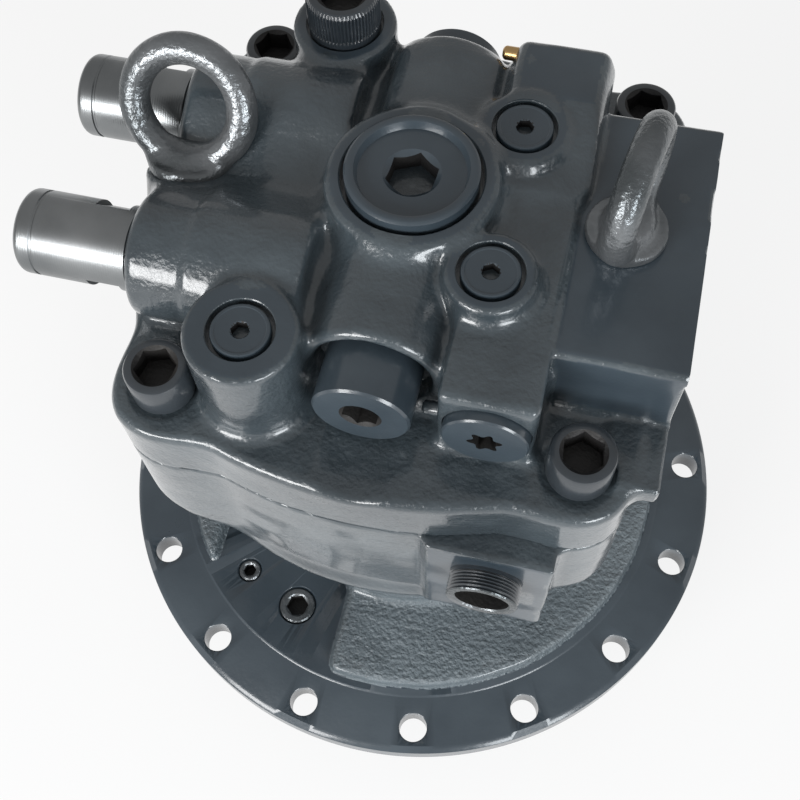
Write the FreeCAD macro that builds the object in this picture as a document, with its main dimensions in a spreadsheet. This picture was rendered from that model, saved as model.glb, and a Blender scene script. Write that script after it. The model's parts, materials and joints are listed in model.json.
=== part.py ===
import FreeCAD, Part
import math
import os
import re

# Swing motor: an axial piston motor with a parking brake, relief valves and make-up valves, in millimetres.
# Origin: centre of the mounting flange's underside. +Z: up the drive shaft's axis, towards the valve casing.
# -Y: the side with the drain fitting. -X: the side with the two relief valves.

os.makedirs("parts", exist_ok=True)
doc = FreeCAD.newDocument("swing_motor")

# Driving dimensions. Each one is a cell of the sheet, with its name as the cell's alias.
DRIVING = [
    ("flange_radius", 158, "outer radius of the mounting flange"),
    ("flange_thick", 14, "thickness of the mounting flange"),
    ("flange_chamfer", 3, "chamfer on the flange's upper rim"),
    ("flange_holes", 16, "number of holes in the mounting flange"),
    ("flange_hole_inset", 12.2, "distance of the flange's holes from its rim"),
    ("flange_hole_radius", 7, "radius of the flange's holes, for M12"),
    ("spigot_radius", 118, "radius of the spigot that centres the motor"),
    ("spigot_depth", 6, "depth of the spigot under the flange"),
    ("land_inset", 27, "distance of the low land round the cast step from the rim"),
    ("land_height", 1.2, "height of that land"),
    ("step_inset", 32, "distance of the cast step's edge from the flange's rim"),
    ("step_top_z", 21, "height of the cast step's top"),
    ("body_foot_radius", 80, "radius of the casing's body at its foot"),
    ("neck_radius", 105.5, "radius of the casing's body at its neck"),
    ("neck_z", 114, "height of the neck, where the square head starts"),
    ("head_arc_radius", 175, "radius of the bulging sides of the square head"),
    ("head_reach", 107, "distance from the axis to the middle of a side"),
    ("ear_radius", 20, "radius of the head's ears round the main bolts"),
    ("ear_overhang", 136, "radius of the cone under the ears at its top"),
    ("ear_z", 148, "height where the cone under the ears ends"),
    ("joint_z", 194, "height of the joint between casing and valve casing"),
    ("pocket_x", 20, "distance of the milled pocket's near side from the axis"),
    ("pocket_width", 74, "width of the pocket, which is cut through the cast step"),
    ("small_port_inset", 46.4, "distance of the small port in the pocket from the flange's rim"),
    ("small_port_angle", -132.1, "direction of the small port, from +X"),
    ("large_port_inset", 52.2, "distance of the large port in the pocket from the flange's rim"),
    ("large_port_angle", -115.2, "direction of the large port, from +X"),
    ("small_port_radius", 5.6, "radius of the small port's plug"),
    ("large_port_radius", 9.2, "radius of the large port's plug"),
    ("small_port_hex", 6, "hexagon of the small port's plug, across its flats"),
    ("large_port_hex", 10, "hexagon of the large port's plug, across its flats"),
    ("port_plug_depth", 12, "depth of the two ports' plugs"),
    ("port_plug_proud", 0.5, "length of these plugs outside the pocket's floor"),
    ("small_way_radius", 2.5, "radius of the small port's way through the flange"),
    ("large_way_radius", 4.5, "radius of the large port's way through the flange"),
    ("pad_x", 52.5, "middle of the drain pad along X"),
    ("pad_width", 49, "width of the drain pad"),
    ("pad_height", 69, "height of the drain pad"),
    ("pad_proud", 2, "distance of the drain pad's face outside the middle of the head's side"),
    ("drain_radius", 14.3, "outer radius of the drain fitting"),
    ("drain_bore_radius", 10.5, "bore radius of the drain fitting"),
    ("drain_drop", 22, "drop of the drain fitting's axis under the joint"),
    ("drain_length", 9.5, "length of the drain fitting outside its pad"),
    ("drain_thread", 14, "length of the drain fitting's thread"),
    ("drain_thread_radius", 13.3, "radius of the drain fitting's thread"),
    ("drill_room", 2, "depth of a tapped hole beyond its screw"),
    ("drain_way_radius", 4, "radius of the oil way from the drain fitting"),
    ("way_length", 44, "length of that oil way"),
    ("drain_way_lean", 33, "lean of that oil way towards the axis"),
    ("seal_radius", 36, "outer radius of the shaft seal"),
    ("seal_height", 10, "height of the shaft seal"),
    ("seal_gap", 3, "gap between the shaft seal and the front bearing"),
    ("bearing_seat_z", 16, "height of the front bearing's seat"),
    ("bearing_radius", 55, "outer radius of the front bearing"),
    ("bearing_width", 27, "width of the front bearing"),
    ("bearing_journal", 25, "radius of the shaft in the front bearing"),
    ("race_thick", 7.4, "thickness of the front bearing's races"),
    ("front_rollers", 14, "number of rollers in the front bearing"),
    ("rear_journal", 15, "radius of the shaft in the rear bearing"),
    ("rear_bearing_radius", 26, "outer radius of the rear bearing"),
    ("rear_bearing_width", 18, "width of the rear bearing"),
    ("rear_race_thick", 5, "thickness of the rear bearing's race"),
    ("rear_bearing_lift", 2, "room under and over the rear bearing"),
    ("cage_thick", 2, "thickness of a bearing cage's end rings"),
    ("rear_rollers", 14, "number of rollers in the rear bearing"),
    ("shaft_tail", 50, "length of the shaft under the flange"),
    ("output_spline_length", 38, "length of the output spline"),
    ("output_root_radius", 19.5, "root radius of the output spline"),
    ("output_tip_radius", 22.5, "tip radius of the output spline"),
    ("output_tooth_width", 4.6, "width of the output spline's teeth"),
    ("output_teeth", 14, "number of teeth on the output spline"),
    ("drive_root_radius", 19.5, "root radius of the spline in the block"),
    ("drive_tip_radius", 22.5, "tip radius of the spline in the block"),
    ("drive_tooth_width", 4, "width of that spline's teeth"),
    ("drive_teeth", 16, "number of teeth on that spline"),
    ("shaft_body_radius", 24, "radius of the shaft through the swash plate"),
    ("shaft_neck_radius", 17.5, "radius of the shaft inside the block's spring"),
    ("swash_angle", 16, "tilt of the swash plate, in degrees"),
    ("swash_z", 83.5, "height where the swash plane crosses the axis"),
    ("swash_thick", 14, "thickness of the swash plate"),
    ("swash_radius", 70, "outer radius of the swash plate"),
    ("swash_bore", 34, "bore radius of the swash plate"),
    ("swash_room", 72, "radius of the casing's room round the swash plate"),
    ("pistons", 9, "number of pistons"),
    ("piston_pitch", 46, "pitch radius of the pistons"),
    ("piston_radius", 12, "radius of a piston"),
    ("piston_length", 62, "length of a piston from its ball's centre"),
    ("piston_neck_length", 12, "length of a piston's neck from its ball's centre"),
    ("piston_neck_radius", 5.6, "radius of a piston's neck"),
    ("piston_hollow", 7, "radius of the hollow in a piston"),
    ("piston_end_room", 3, "room over a piston at its highest"),
    ("oil_hole_radius", 1, "radius of the oil holes in pistons and shoes"),
    ("ball_radius", 9, "radius of a piston's ball"),
    ("ball_height", 12, "height of the ball's centre over the swash plate"),
    ("shoe_radius", 14.5, "radius of a shoe's pad"),
    ("shoe_pad_thick", 4, "thickness of a shoe's pad"),
    ("shoe_neck_radius", 12.2, "radius of a shoe's neck"),
    ("shoe_lip", 3.6, "height of a shoe's lip over the ball's centre"),
    ("retainer_radius", 60.5, "outer radius of the retainer plate"),
    ("retainer_thick", 4, "thickness of the retainer plate"),
    ("guide_radius", 31, "radius of the retainer guide's sphere"),
    ("guide_below", 11, "depth of the guide under its sphere's centre"),
    ("guide_above", 8, "height of the guide over its sphere's centre"),
    ("block_gap", 24, "gap from the ball plane to the cylinder block"),
    ("block_radius", 63, "radius of the cylinder block"),
    ("valve_plate_thick", 6, "thickness of the valve plate"),
    ("valve_plate_radius", 57, "outer radius of the valve plate"),
    ("valve_plate_bore", 24, "bore radius of the valve plate"),
    ("kidney_pitch", 42, "pitch radius of the kidney slots"),
    ("kidney_half_width", 5, "half width of the kidney slots"),
    ("kidney_angle", 136, "arc of each kidney slot, in degrees"),
    ("kidney_depth", 12, "depth of the kidney slots in the valve casing"),
    ("block_port_radius", 5.5, "radius of the oil port over each cylinder"),
    ("spring_room_radius", 28, "radius of the spring's room in the block"),
    ("spring_room_depth", 27, "depth of the spring's room in the block"),
    ("block_spring_wire", 2, "radius of the block spring's wire"),
    ("block_spring_radius", 23.5, "mean radius of the block spring"),
    ("block_spring_turns", 3, "turns of the block spring"),
    ("washer_thick", 3, "thickness of the washer under the block spring"),
    ("thrust_pin_radius", 2.2, "radius of a thrust pin"),
    ("thrust_pin_pitch", 26.5, "pitch radius of the thrust pins"),
    ("brake_ledge_z", 124, "height of the ledge under the brake plates"),
    ("plate_thick", 3, "thickness of a brake plate"),
    ("plate_gap", 0.2, "gap between two brake plates"),
    ("friction_plate_count", 3, "number of friction plates"),
    ("friction_radius", 80, "outer radius of a friction plate"),
    ("brake_tooth_width", 9, "width of the teeth that drive the friction plates"),
    ("brake_tooth_depth", 2.6, "depth of those teeth"),
    ("separator_bore", 67, "bore radius of a separator plate"),
    ("lug_width", 15, "width of a separator plate's lugs"),
    ("lug_reach", 87.4, "reach of a separator plate's lugs"),
    ("brake_bore", 84.2, "radius of the casing's bore round the brake plates"),
    ("brake_upper_bore", 88.2, "radius of the casing's bore at the brake piston"),
    ("brake_step_z", 160, "height of the step in that bore"),
    ("brake_piston_step", 165, "height of the step on the brake piston"),
    ("brake_piston_bore", 66.5, "bore radius of the brake piston"),
    ("brake_travel", 1.6, "travel of the brake piston"),
    ("brake_top_gap", 3, "gap over the brake piston at its highest"),
    ("brake_spring_count", 10, "number of brake springs"),
    ("brake_spring_pitch", 76.5, "pitch radius of the brake springs"),
    ("brake_pocket_radius", 6.8, "radius of a brake spring's pocket"),
    ("brake_pocket_depth", 19, "depth of a brake spring's pocket"),
    ("brake_spring_wire", 1.4, "radius of a brake spring's wire"),
    ("brake_spring_turns", 5, "turns of a brake spring"),
    ("seal_ring", 1.7, "section radius of the sealing rings"),
    ("seal_groove_z", 152, "height of the lower sealing ring"),
    ("upper_groove_z", 176, "height of the upper sealing ring"),
    ("joint_seal_radius", 94, "radius of the ring between the casings"),
    ("ledge_thick", 27, "thickness of the valve casing's foot"),
    ("main_bolt_offset", 78, "distance of the main bolts from both mid planes"),
    ("main_bolt_radius", 8, "radius of a main bolt, M16"),
    ("main_bolt_room", 13.2, "radius of the room round a main bolt's head"),
    ("main_bolt_hole", 8.8, "radius of the holes for the main bolts"),
    ("main_bolt_head", 12, "head radius of a main bolt"),
    ("main_bolt_head_height", 16, "head height of a main bolt"),
    ("main_bolt_length", 70, "length of a main bolt under its head"),
    ("main_bolt_hex", 14, "hexagon of a main bolt, across its flats"),
    ("block_face", 107, "distance of the port face from the axis"),
    ("port_block_start", 62, "distance of the port block's inner side"),
    ("port_block_half", 54, "half length of the port block along Y"),
    ("port_block_top", 257, "height of the port block"),
    ("lip_half", 81, "half length of the lip at the port face"),
    ("lip_thick", 10, "thickness of that lip"),
    ("lip_width", 20, "width of that lip"),
    ("port_offset", 27, "distance of the two ports from the middle"),
    ("port_z", 225, "height of the two ports"),
    ("port_radius", 9.5, "radius of a port"),
    ("port_way_end", 4, "length of a port's way past the make-up valves"),
    ("down_way_radius", 6.5, "radius of the ways from the ports down to the kidneys"),
    ("port_bolt_y", 22.2, "spacing of a port's bolts along Y"),
    ("port_bolt_z", 47.6, "spacing of a port's bolts along Z"),
    ("port_bolt_radius", 4.25, "radius of a port's bolt holes, tapped M10"),
    ("port_bolt_depth", 22, "depth of a port's bolt holes"),
    ("bar_start", 26, "left side of the valve bar"),
    ("bar_end", 61, "right side of the valve bar"),
    ("bar_front", 79, "reach of the valve bar to the front"),
    ("bar_rear", 75, "reach of the valve bar to the rear"),
    ("bar_top", 259, "height of the valve bar"),
    ("bar_plug_x", 44, "place of the bar's plugs along X"),
    ("bar_plug_z", 239, "height of the bar's plugs"),
    ("bar_plug_radius", 15.6, "head radius of the bar's plugs"),
    ("bar_plug_thick", 8, "head thickness of the bar's plugs"),
    ("bar_plug_proud", 4, "length of the plugs' heads outside the bar"),
    ("bar_thread_radius", 12, "thread radius of the bar's plugs"),
    ("bar_thread_length", 12, "thread length of the bar's plugs"),
    ("bar_star_radius", 6.5, "radius of the star socket in a bar plug"),
    ("plateau_z", 267, "height of the plateau round the flush plugs"),
    ("plateau_start", 17, "front end of the rear plateau"),
    ("makeup_x", 35, "place of the make-up valves along X"),
    ("makeup_y", 32, "distance of the make-up valves from the middle"),
    ("makeup_boss", 17.5, "radius of the boss round the front make-up valve"),
    ("makeup_room_radius", 9.3, "radius of a make-up valve's room"),
    ("makeup_seat_z", 240, "height of a make-up valve's seat"),
    ("makeup_hole_radius", 6.5, "radius of the hole under a make-up valve"),
    ("makeup_poppet_radius", 8.6, "radius of a make-up poppet"),
    ("makeup_poppet_thick", 4, "thickness of a make-up poppet"),
    ("makeup_stem_radius", 4.5, "radius of a make-up poppet's stem"),
    ("makeup_spring_wire", 0.8, "radius of a make-up spring's wire"),
    ("makeup_spring_turns", 3, "turns of a make-up spring"),
    ("flush_plug_radius", 10.6, "head radius of a flush plug"),
    ("flush_plug_thick", 13, "thickness of a flush plug"),
    ("flush_groove_radius", 12.2, "outer radius of the groove round a flush plug"),
    ("flush_groove_depth", 4, "depth of that groove"),
    ("flush_hex", 6, "hexagon of a flush plug, across its flats"),
    ("tower_x", -43.5, "place of the two towers along X"),
    ("tower_y", 71, "distance of the two towers from the middle"),
    ("tower_radius", 20.5, "radius of a tower"),
    ("tower_top", 264, "height of a tower"),
    ("knurl_radius", 14.4, "head radius of the knurled screw"),
    ("knurl_height", 16, "height of the knurled head over its tower"),
    ("knurl_sink", 3, "depth of the knurled head in its tower"),
    ("knurl_room", 15.6, "radius of the recess round the knurled head"),
    ("knurl_thread", 9.5, "thread radius of the knurled screw"),
    ("knurl_length", 26, "length of the knurled screw under the tower's top"),
    ("knurl_hex", 17, "hexagon of the knurled screw, across its flats"),
    ("dome_radius", 32, "radius of the dome round the centre plug"),
    ("dome_top", 270, "height of that dome"),
    ("centre_plug_radius", 24.4, "rim radius of the centre plug"),
    ("centre_plug_top", 274, "height of the centre plug's rim"),
    ("centre_plug_seat", 263, "height of the centre plug's shoulder"),
    ("centre_plug_recess", 20, "radius of the recess in the centre plug"),
    ("centre_recess_depth", 3, "depth of that recess"),
    ("centre_thread_radius", 20, "thread radius of the centre plug"),
    ("centre_thread_bottom", 254, "height of the centre plug's lower end"),
    ("centre_hex", 18, "hexagon of the centre plug, across its flats"),
    ("rim_gap", 1.6, "gap round the centre plug and round the sleeves"),
    ("deck_z", 252, "height of the valve casing's middle"),
    ("deck_start", -62, "left side of the valve casing's middle"),
    ("deck_half", 60, "half length of the valve casing's middle"),
    ("rear_deck_z", 264, "height of the raised deck behind the dome"),
    ("rear_deck_start", -19, "left side of that deck"),
    ("rear_deck_end", 21, "right side of that deck"),
    ("rear_deck_reach", 68, "reach of that deck to the rear"),
    ("bore_z", 240, "height of the cross bore"),
    ("bore_boss_radius", 25, "radius of the boss round the cross bore"),
    ("bore_boss_front", 66, "reach of that boss to the front"),
    ("bore_boss_rear", 72, "reach of that boss to the rear"),
    ("bore_radius", 11.05, "radius of the cross bore"),
    ("bore_plug_radius", 18.4, "head radius of the bore plugs"),
    ("bore_plug_reach", 83, "distance of the bore plugs' faces from the middle"),
    ("bore_plug_seat", 58, "distance of the bore plugs' seats from the middle"),
    ("bore_room_radius", 21.6, "radius of the recess round a bore plug"),
    ("bore_thread_radius", 13, "thread radius of the bore plugs"),
    ("bore_thread_length", 14, "thread length of the bore plugs"),
    ("bore_hex", 12.5, "hexagon of the bore plugs, across its flats"),
    ("bore_hex_depth", 9, "depth of that hexagon"),
    ("spool_travel", 2, "travel of the shuttle spool, each way"),
    ("spool_groove", 2.2, "depth of the grooves on the shuttle spool"),
    ("relief_y", 34, "distance of the relief valves from the middle"),
    ("relief_z", 241, "height of the relief valves"),
    ("relief_lobe_radius", 25, "radius of the lobes round the relief valves"),
    ("relief_face", 95, "distance of the lobes' ends from the axis"),
    ("wall_proud", 7, "length of the wall under the lobes beyond their ends"),
    ("wall_top", 236, "height of that wall"),
    ("relief_sleeve_radius", 16.2, "radius of a relief valve's sleeve"),
    ("relief_sleeve_end", 142, "distance of the sleeves' ends from the axis"),
    ("relief_sleeve_chamfer", 3, "chamfer on the sleeves' ends"),
    ("relief_thread_radius", 13, "radius of a sleeve's thread"),
    ("relief_thread_end", 57, "distance of a sleeve's inner end from the axis"),
    ("relief_bore", 8, "bore radius of a sleeve"),
    ("relief_wall", 6, "thickness of a sleeve's closed end"),
    ("relief_seat_radius", 4.5, "radius of the hole in a relief valve's seat"),
    ("relief_seat_thick", 3, "thickness of a relief valve's seat"),
    ("relief_poppet_length", 16, "length of a relief poppet"),
    ("relief_spring_wire", 1.3, "radius of a relief spring's wire"),
    ("relief_spring_turns", 9, "turns of a relief spring"),
    ("relief_flat", 4, "thickness of the slabs that cut the spanner flats"),
    ("relief_flat_width", 12, "width of the spanner flats along a sleeve"),
    ("relief_way", 6, "radius of the oil way from a relief valve"),
    ("eye_ring_radius", 21, "radius of an eye bolt's ring, to its section"),
    ("eye_section", 6, "section radius of an eye bolt's ring"),
    ("eye_height", 26, "height of an eye bolt's ring over its seat"),
    ("eye_collar_radius", 15, "radius of an eye bolt's collar"),
    ("eye_collar_thick", 4, "thickness of an eye bolt's collar"),
    ("eye_foot_step", 2, "step between an eye bolt's collar and its foot"),
    ("eye_thread_radius", 6, "radius of an eye bolt's thread, M12"),
    ("eye_thread_length", 20, "length of an eye bolt's thread"),
    ("right_eye_x", 78, "place of the right eye bolt along X"),
    ("right_eye_turn", 80, "turn of the right eye bolt's ring"),
    ("left_eye_x", -88.5, "place of the left eye bolt along X"),
    ("left_eye_y", 1, "place of the left eye bolt along Y"),
    ("left_eye_z", 247, "height of the left eye bolt's seat"),
    ("left_eye_lean", 30, "lean of the left eye bolt to the rear"),
    ("left_eye_boss", 16, "radius of the boss under the left eye bolt"),
    ("left_eye_boss_length", 40, "length of that boss"),
    ("pin_radius", 2.7, "radius of the small brass pins"),
    ("pin_proud", 6.5, "length of a small pin outside the bar"),
    ("pin_depth", 6, "length of a small pin inside the bar"),
    ("front_pin_y", -71, "place of the front pin along Y"),
    ("front_pin_z", 233, "height of the front pin"),
    ("rear_pin_y", 71, "place of the rear pin along Y"),
    ("rear_pin_z", 261, "height of the rear pin"),
    ("fit_gap", 0.05, "running clearance of the fits, radial"),
    ("slack", 0.3, "clearance between pieces that stay apart"),
]

sheet = doc.addObject("Spreadsheet::Sheet", "Sizes")
for row, (alias, value, meaning) in enumerate(DRIVING, start=1):
    sheet.set("A%d" % row, meaning)
    sheet.set("B%d" % row, str(value))
    sheet.setAlias("B%d" % row, alias)
doc.recompute()
size = {alias: float(sheet.get(alias)) for alias, value, meaning in DRIVING}
WORD = re.compile(r"[a-z][a-z_]+[a-z]")
TURNS = {
    "z": "vector(0; 0; 1); 0",
    "-z": "vector(1; 0; 0); 180",
    "x": "vector(0; 1; 0); 90",
    "-x": "vector(0; 1; 0); -90",
    "y": "vector(1; 0; 0); -90",
    "-y": "vector(1; 0; 0); 90",
}
subparts = []


def formula(words):
    """A formula of the sheet's names, written the way the sheet's own cells are read."""
    return WORD.sub(lambda found: ("Sizes." if found.group(0) in size else "") + found.group(0), str(words))


def bind(item, **properties):
    """Ties properties of an object to formulas."""
    for name, words in properties.items():
        item.setExpression(name, formula(words))
    return item


def place(item, x=0, y=0, z=0, along="z", turn=None):
    """Puts an object at a point, with its own Z axis along a direction, or turned by a rotation."""
    point = "vector(%s; %s; %s)" % (x, y, z)
    item.setExpression("Placement", formula("placement(%s; rotation(%s))" % (point, turn or TURNS[along])))
    return item


def cylinder(radius, height, x=0, y=0, z=0, along="z", turn=None, name="Cylinder"):
    item = bind(doc.addObject("Part::Cylinder", name), Radius=radius, Height=height)
    return place(item, x, y, z, along, turn)


def cone(radius, top_radius, height, x=0, y=0, z=0, along="z", name="Cone"):
    item = bind(doc.addObject("Part::Cone", name), Radius1=radius, Radius2=top_radius, Height=height)
    return place(item, x, y, z, along)


def box(length, width, height, x=0, y=0, z=0, along="z", turn=None, name="Box"):
    item = bind(doc.addObject("Part::Box", name), Length=length, Width=width, Height=height)
    return place(item, x, y, z, along, turn)


def sphere(radius, x=0, y=0, z=0, name="Sphere"):
    return place(bind(doc.addObject("Part::Sphere", name), Radius=radius), x, y, z)


def torus(radius, section, x=0, y=0, z=0, along="z", name="Torus"):
    item = bind(doc.addObject("Part::Torus", name), Radius1=radius, Radius2=section)
    return place(item, x, y, z, along)


def hexagon(across_flats, height, x=0, y=0, z=0, along="z", turn=None):
    item = doc.addObject("Part::Prism", "Hexagon")
    item.Polygon = 6
    bind(item, Circumradius="(%s) / sqrt(3)" % across_flats, Height=height)
    return place(item, x, y, z, along, turn)


def fuse(*items, name="Fuse"):
    item = doc.addObject("Part::MultiFuse", name)
    item.Shapes = list(items)
    return item


def common(*items, name="Common"):
    item = doc.addObject("Part::MultiCommon", name)
    item.Shapes = list(items)
    return item


def cut(base, *tools, name="Cut"):
    item = doc.addObject("Part::Cut", name)
    item.Base = base
    item.Tool = tools[0] if len(tools) == 1 else fuse(*tools)
    return item


def group(*items, name="Group"):
    item = doc.addObject("Part::Compound", name)
    item.Links = list(items)
    return item


def tube(radius, bore, height, x=0, y=0, z=0, along="z", name="Tube"):
    """A ring or a pipe, open at both ends."""
    item = cut(cylinder(radius, height), cylinder(bore, height), name=name)
    return place(item, x, y, z, along)


def subpart(label, item):
    """Names an object as one sub-part of the motor."""
    item.Label = label
    subparts.append(item)
    return item


def around(count, first=0):
    """The angles, in degrees, of a number of copies spread over a full turn."""
    return [first + 360 * index / int(count) for index in range(int(count))]


def polar(pitch, angle):
    """The X and Y formulas of a point on a pitch circle."""
    return "(%s) * cos(%s)" % (pitch, angle), "(%s) * sin(%s)" % (pitch, angle)


def spline(root, tip, width, teeth, height, z, slack="0"):
    """A straight-sided spline, or with slack the hole that it slides into."""
    blanks = []
    for angle in around(size[teeth]):
        turn = "vector(0; 0; 1); %s" % angle
        x = "(%s / 2 + %s) * sin(%s)" % (width, slack, angle)
        y = "-(%s / 2 + %s) * cos(%s)" % (width, slack, angle)
        blanks.append(box("%s + 1" % tip, "%s + 2 * (%s)" % (width, slack), height, x, y, z, turn=turn))
    core = cylinder("%s + %s" % (root, slack), height, z=z)
    rim = cylinder("%s + %s" % (tip, slack), height, z=z)
    return fuse(core, common(fuse(*blanks), rim))


def coil_spring(mean_radius, wire, length, turns):
    """A coil spring of round wire, upright, between its foot at the origin and a length."""
    halves = 2 * int(size[turns])
    rise = "((%s - 2 * %s - 2 * fit_gap) / (2 * %s))" % (length, wire, turns)
    items = []
    for index in range(halves):
        arc = bind(doc.addObject("Part::Torus", "HalfTurn"), Radius2=wire,
                   Radius1="sqrt((%s) ^ 2 + %s ^ 2 / 4)" % (mean_radius, rise))
        arc.Angle3 = 180
        turn = "%d; atan2(%s / 2; %s); 0" % (index % 2 * 180, rise, mean_radius)
        items.append(place(arc, z="%s + fit_gap + %s * %s" % (wire, index + 0.5, rise), turn=turn))
    return fuse(*items, name="Spring")


# The tilted frame of the swash plate. Its own Z is the plate's normal, which leans towards -X.
TILT = "vector(0; 1; 0); -swash_angle"
EYE_TURN = "vector(1; 0; 0); -left_eye_lean"
BALL_Z = "swash_z + ball_height / cos(swash_angle)"
BLOCK_Z = "(%s) + block_gap" % BALL_Z
BLOCK_TOP = "joint_z - valve_plate_thick"
LEDGE_Z = "joint_z + ledge_thick"
STACK_TOP = "brake_ledge_z + friction_plate_count * 2 * (plate_thick + plate_gap) + plate_thick"
PISTON_TOP = "(joint_z - 2 * brake_travel - brake_top_gap)"
JOINT_PLAY = "(piston_pitch / cos(swash_angle) - piston_pitch) / 2"
PAD_FACE = "(head_reach + pad_proud)"
POCKET_FLOOR = "(flange_thick + land_height)"
BOLT_REACHES = ("main_bolt_offset", "-main_bolt_offset")
BOLT_PLACES = [(x, y) for x in BOLT_REACHES for y in BOLT_REACHES]


def head_outline(z, height):
    """The square head with bulging sides and a round ear at each main bolt."""
    bulge = "head_arc_radius - head_reach"
    sides = []
    for x, y in (("0", bulge), ("0", "-(%s)" % bulge), (bulge, "0"), ("-(%s)" % bulge, "0")):
        sides.append(cylinder("head_arc_radius", height, x, y, z, name="Side"))
    ears = [cylinder("ear_radius", height, x, y, z, name="Ear") for x, y in BOLT_PLACES]
    return fuse(common(*sides), *ears)


def port_point(kind):
    """The middle of the small or the large port in the pocket."""
    return polar("flange_radius - %s_port_inset" % kind, "%s_port_angle" % kind)


def casing_outside():
    """Flange, spigot, land, cast step with its pocket, body, square head and drain pad."""
    rim_z = "flange_thick - flange_chamfer"
    flange = cylinder("flange_radius", rim_z, name="Flange")
    rim = cone("flange_radius", "flange_radius - flange_chamfer", "flange_chamfer", z=rim_z, name="Rim")
    spigot = cylinder("spigot_radius", "spigot_depth", z="-spigot_depth", name="Spigot")
    land = cylinder("flange_radius - land_inset", "land_height", z="flange_thick", name="Land")
    step = cylinder("flange_radius - step_inset", "step_top_z - flange_thick", z="flange_thick", name="Step")
    pocket = box("pocket_width", "flange_radius", "step_top_z", "-pocket_x - pocket_width", "-flange_radius",
                 "flange_thick", name="Pocket")
    body = cone("body_foot_radius", "neck_radius", "neck_z - flange_thick", z="flange_thick", name="Body")
    flare_height = "ear_z - neck_z"
    neck_to_ears = cone("neck_radius", "ear_overhang", flare_height, z="neck_z", name="Flare")
    ears_to_joint = cylinder("ear_overhang", "joint_z - ear_z", z="ear_z", name="HeadBlank")
    head = common(head_outline("neck_z", "joint_z - neck_z"), fuse(neck_to_ears, ears_to_joint))
    pad = box("pad_width", "%s - brake_upper_bore / 2" % PAD_FACE, "pad_height",
              "pad_x - pad_width / 2", "-" + PAD_FACE, "joint_z - pad_height", name="Pad")
    return fuse(flange, rim, spigot, land, cut(step, pocket), body, head, pad)


def casing():
    """The casing: bearing bore, swash seat, brake bore, flange holes and tapped holes."""
    holes = []
    for angle in around(size["flange_holes"], 360 / (2 * size["flange_holes"])):
        x, y = polar("flange_radius - flange_hole_inset", angle)
        holes.append(cylinder("flange_hole_radius", "flange_thick + 2", x, y, "-1", name="FlangeHole"))
    seal_bore = cylinder("seal_radius", "bearing_seat_z + spigot_depth", z="-spigot_depth", name="SealBore")
    bearing_bore = cylinder("bearing_radius + fit_gap", "swash_z - bearing_seat_z", z="bearing_seat_z")
    swash_room = cylinder("swash_room", "brake_ledge_z", name="SwashRoom")
    over_seat = cylinder("4 * swash_room", "4 * swash_room", "swash_thick * sin(swash_angle)", "0",
                         "swash_z - swash_thick * cos(swash_angle)", turn=TILT, name="OverSeat")
    plate_bore = cylinder("brake_bore", "joint_z - brake_ledge_z", z="brake_ledge_z", name="PlateBore")
    piston_bore = cylinder("brake_upper_bore", "joint_z - brake_step_z", z="brake_step_z", name="PistonBore")
    slots = []
    slot_height = "(%s) - brake_ledge_z + brake_travel" % STACK_TOP
    for angle in around(4, 45):
        turn = "vector(0; 0; 1); %s" % angle
        x = "(lug_width / 2 + slack) * sin(%s)" % angle
        y = "-(lug_width / 2 + slack) * cos(%s)" % angle
        slots.append(box("lug_reach + slack", "lug_width + 2 * slack", slot_height, x, y, "brake_ledge_z",
                         turn=turn, name="Slot"))
    tapped = []
    depth = "main_bolt_length - ledge_thick + main_bolt_radius"
    for x, y in BOLT_PLACES:
        tapped.append(cylinder("main_bolt_radius + fit_gap", depth, x, y, "joint_z - (%s)" % depth))
    seal_groove = tube("joint_seal_radius + seal_ring", "joint_seal_radius - seal_ring", "2 * seal_ring",
                       z="joint_z - 2 * seal_ring", name="SealGroove")
    drain_hole = cylinder("drain_thread_radius + fit_gap", "drain_thread + drill_room", "pad_x", "-" + PAD_FACE,
                          "joint_z - drain_drop", along="y", name="DrainHole")
    way_angle = "atan2(drain_thread - %s; pad_x)" % PAD_FACE
    thread_end = "sqrt(pad_x ^ 2 + (%s - drain_thread) ^ 2)" % PAD_FACE
    way_reach = "(%s - way_length * sin(drain_way_lean))" % thread_end
    x, y = polar(way_reach, way_angle)
    z = "joint_z - drain_drop - way_length * cos(drain_way_lean)"
    way = cylinder("drain_way_radius", "way_length", x, y, z, turn="%s; drain_way_lean; 0" % way_angle)
    ports = []
    for kind in ("small", "large"):
        x, y = port_point(kind)
        ports.append(cylinder("%s_port_radius + fit_gap" % kind, "port_plug_depth + drill_room", x, y,
                              "%s - port_plug_depth" % POCKET_FLOOR, name="Port"))
        ports.append(cylinder("%s_way_radius" % kind, "flange_thick + spigot_depth", x, y, "-spigot_depth",
                              name="PortWay"))
    return cut(casing_outside(), *holes, seal_bore, bearing_bore, common(swash_room, over_seat), plate_bore,
               piston_bore, *slots, *tapped, seal_groove, drain_hole, way, *ports)


def casing_plugs():
    """The two socket plugs in the milled pocket."""
    plugs = []
    for kind in ("small", "large"):
        x, y = port_point(kind)
        body = cylinder("%s_port_radius" % kind, "port_plug_depth + port_plug_proud", x, y,
                        "%s - port_plug_depth" % POCKET_FLOOR)
        socket = hexagon("%s_port_hex" % kind, "port_plug_depth", x, y, "%s - port_plug_depth / 2" % POCKET_FLOOR)
        plugs.append(cut(body, socket))
    return group(*plugs)


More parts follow.
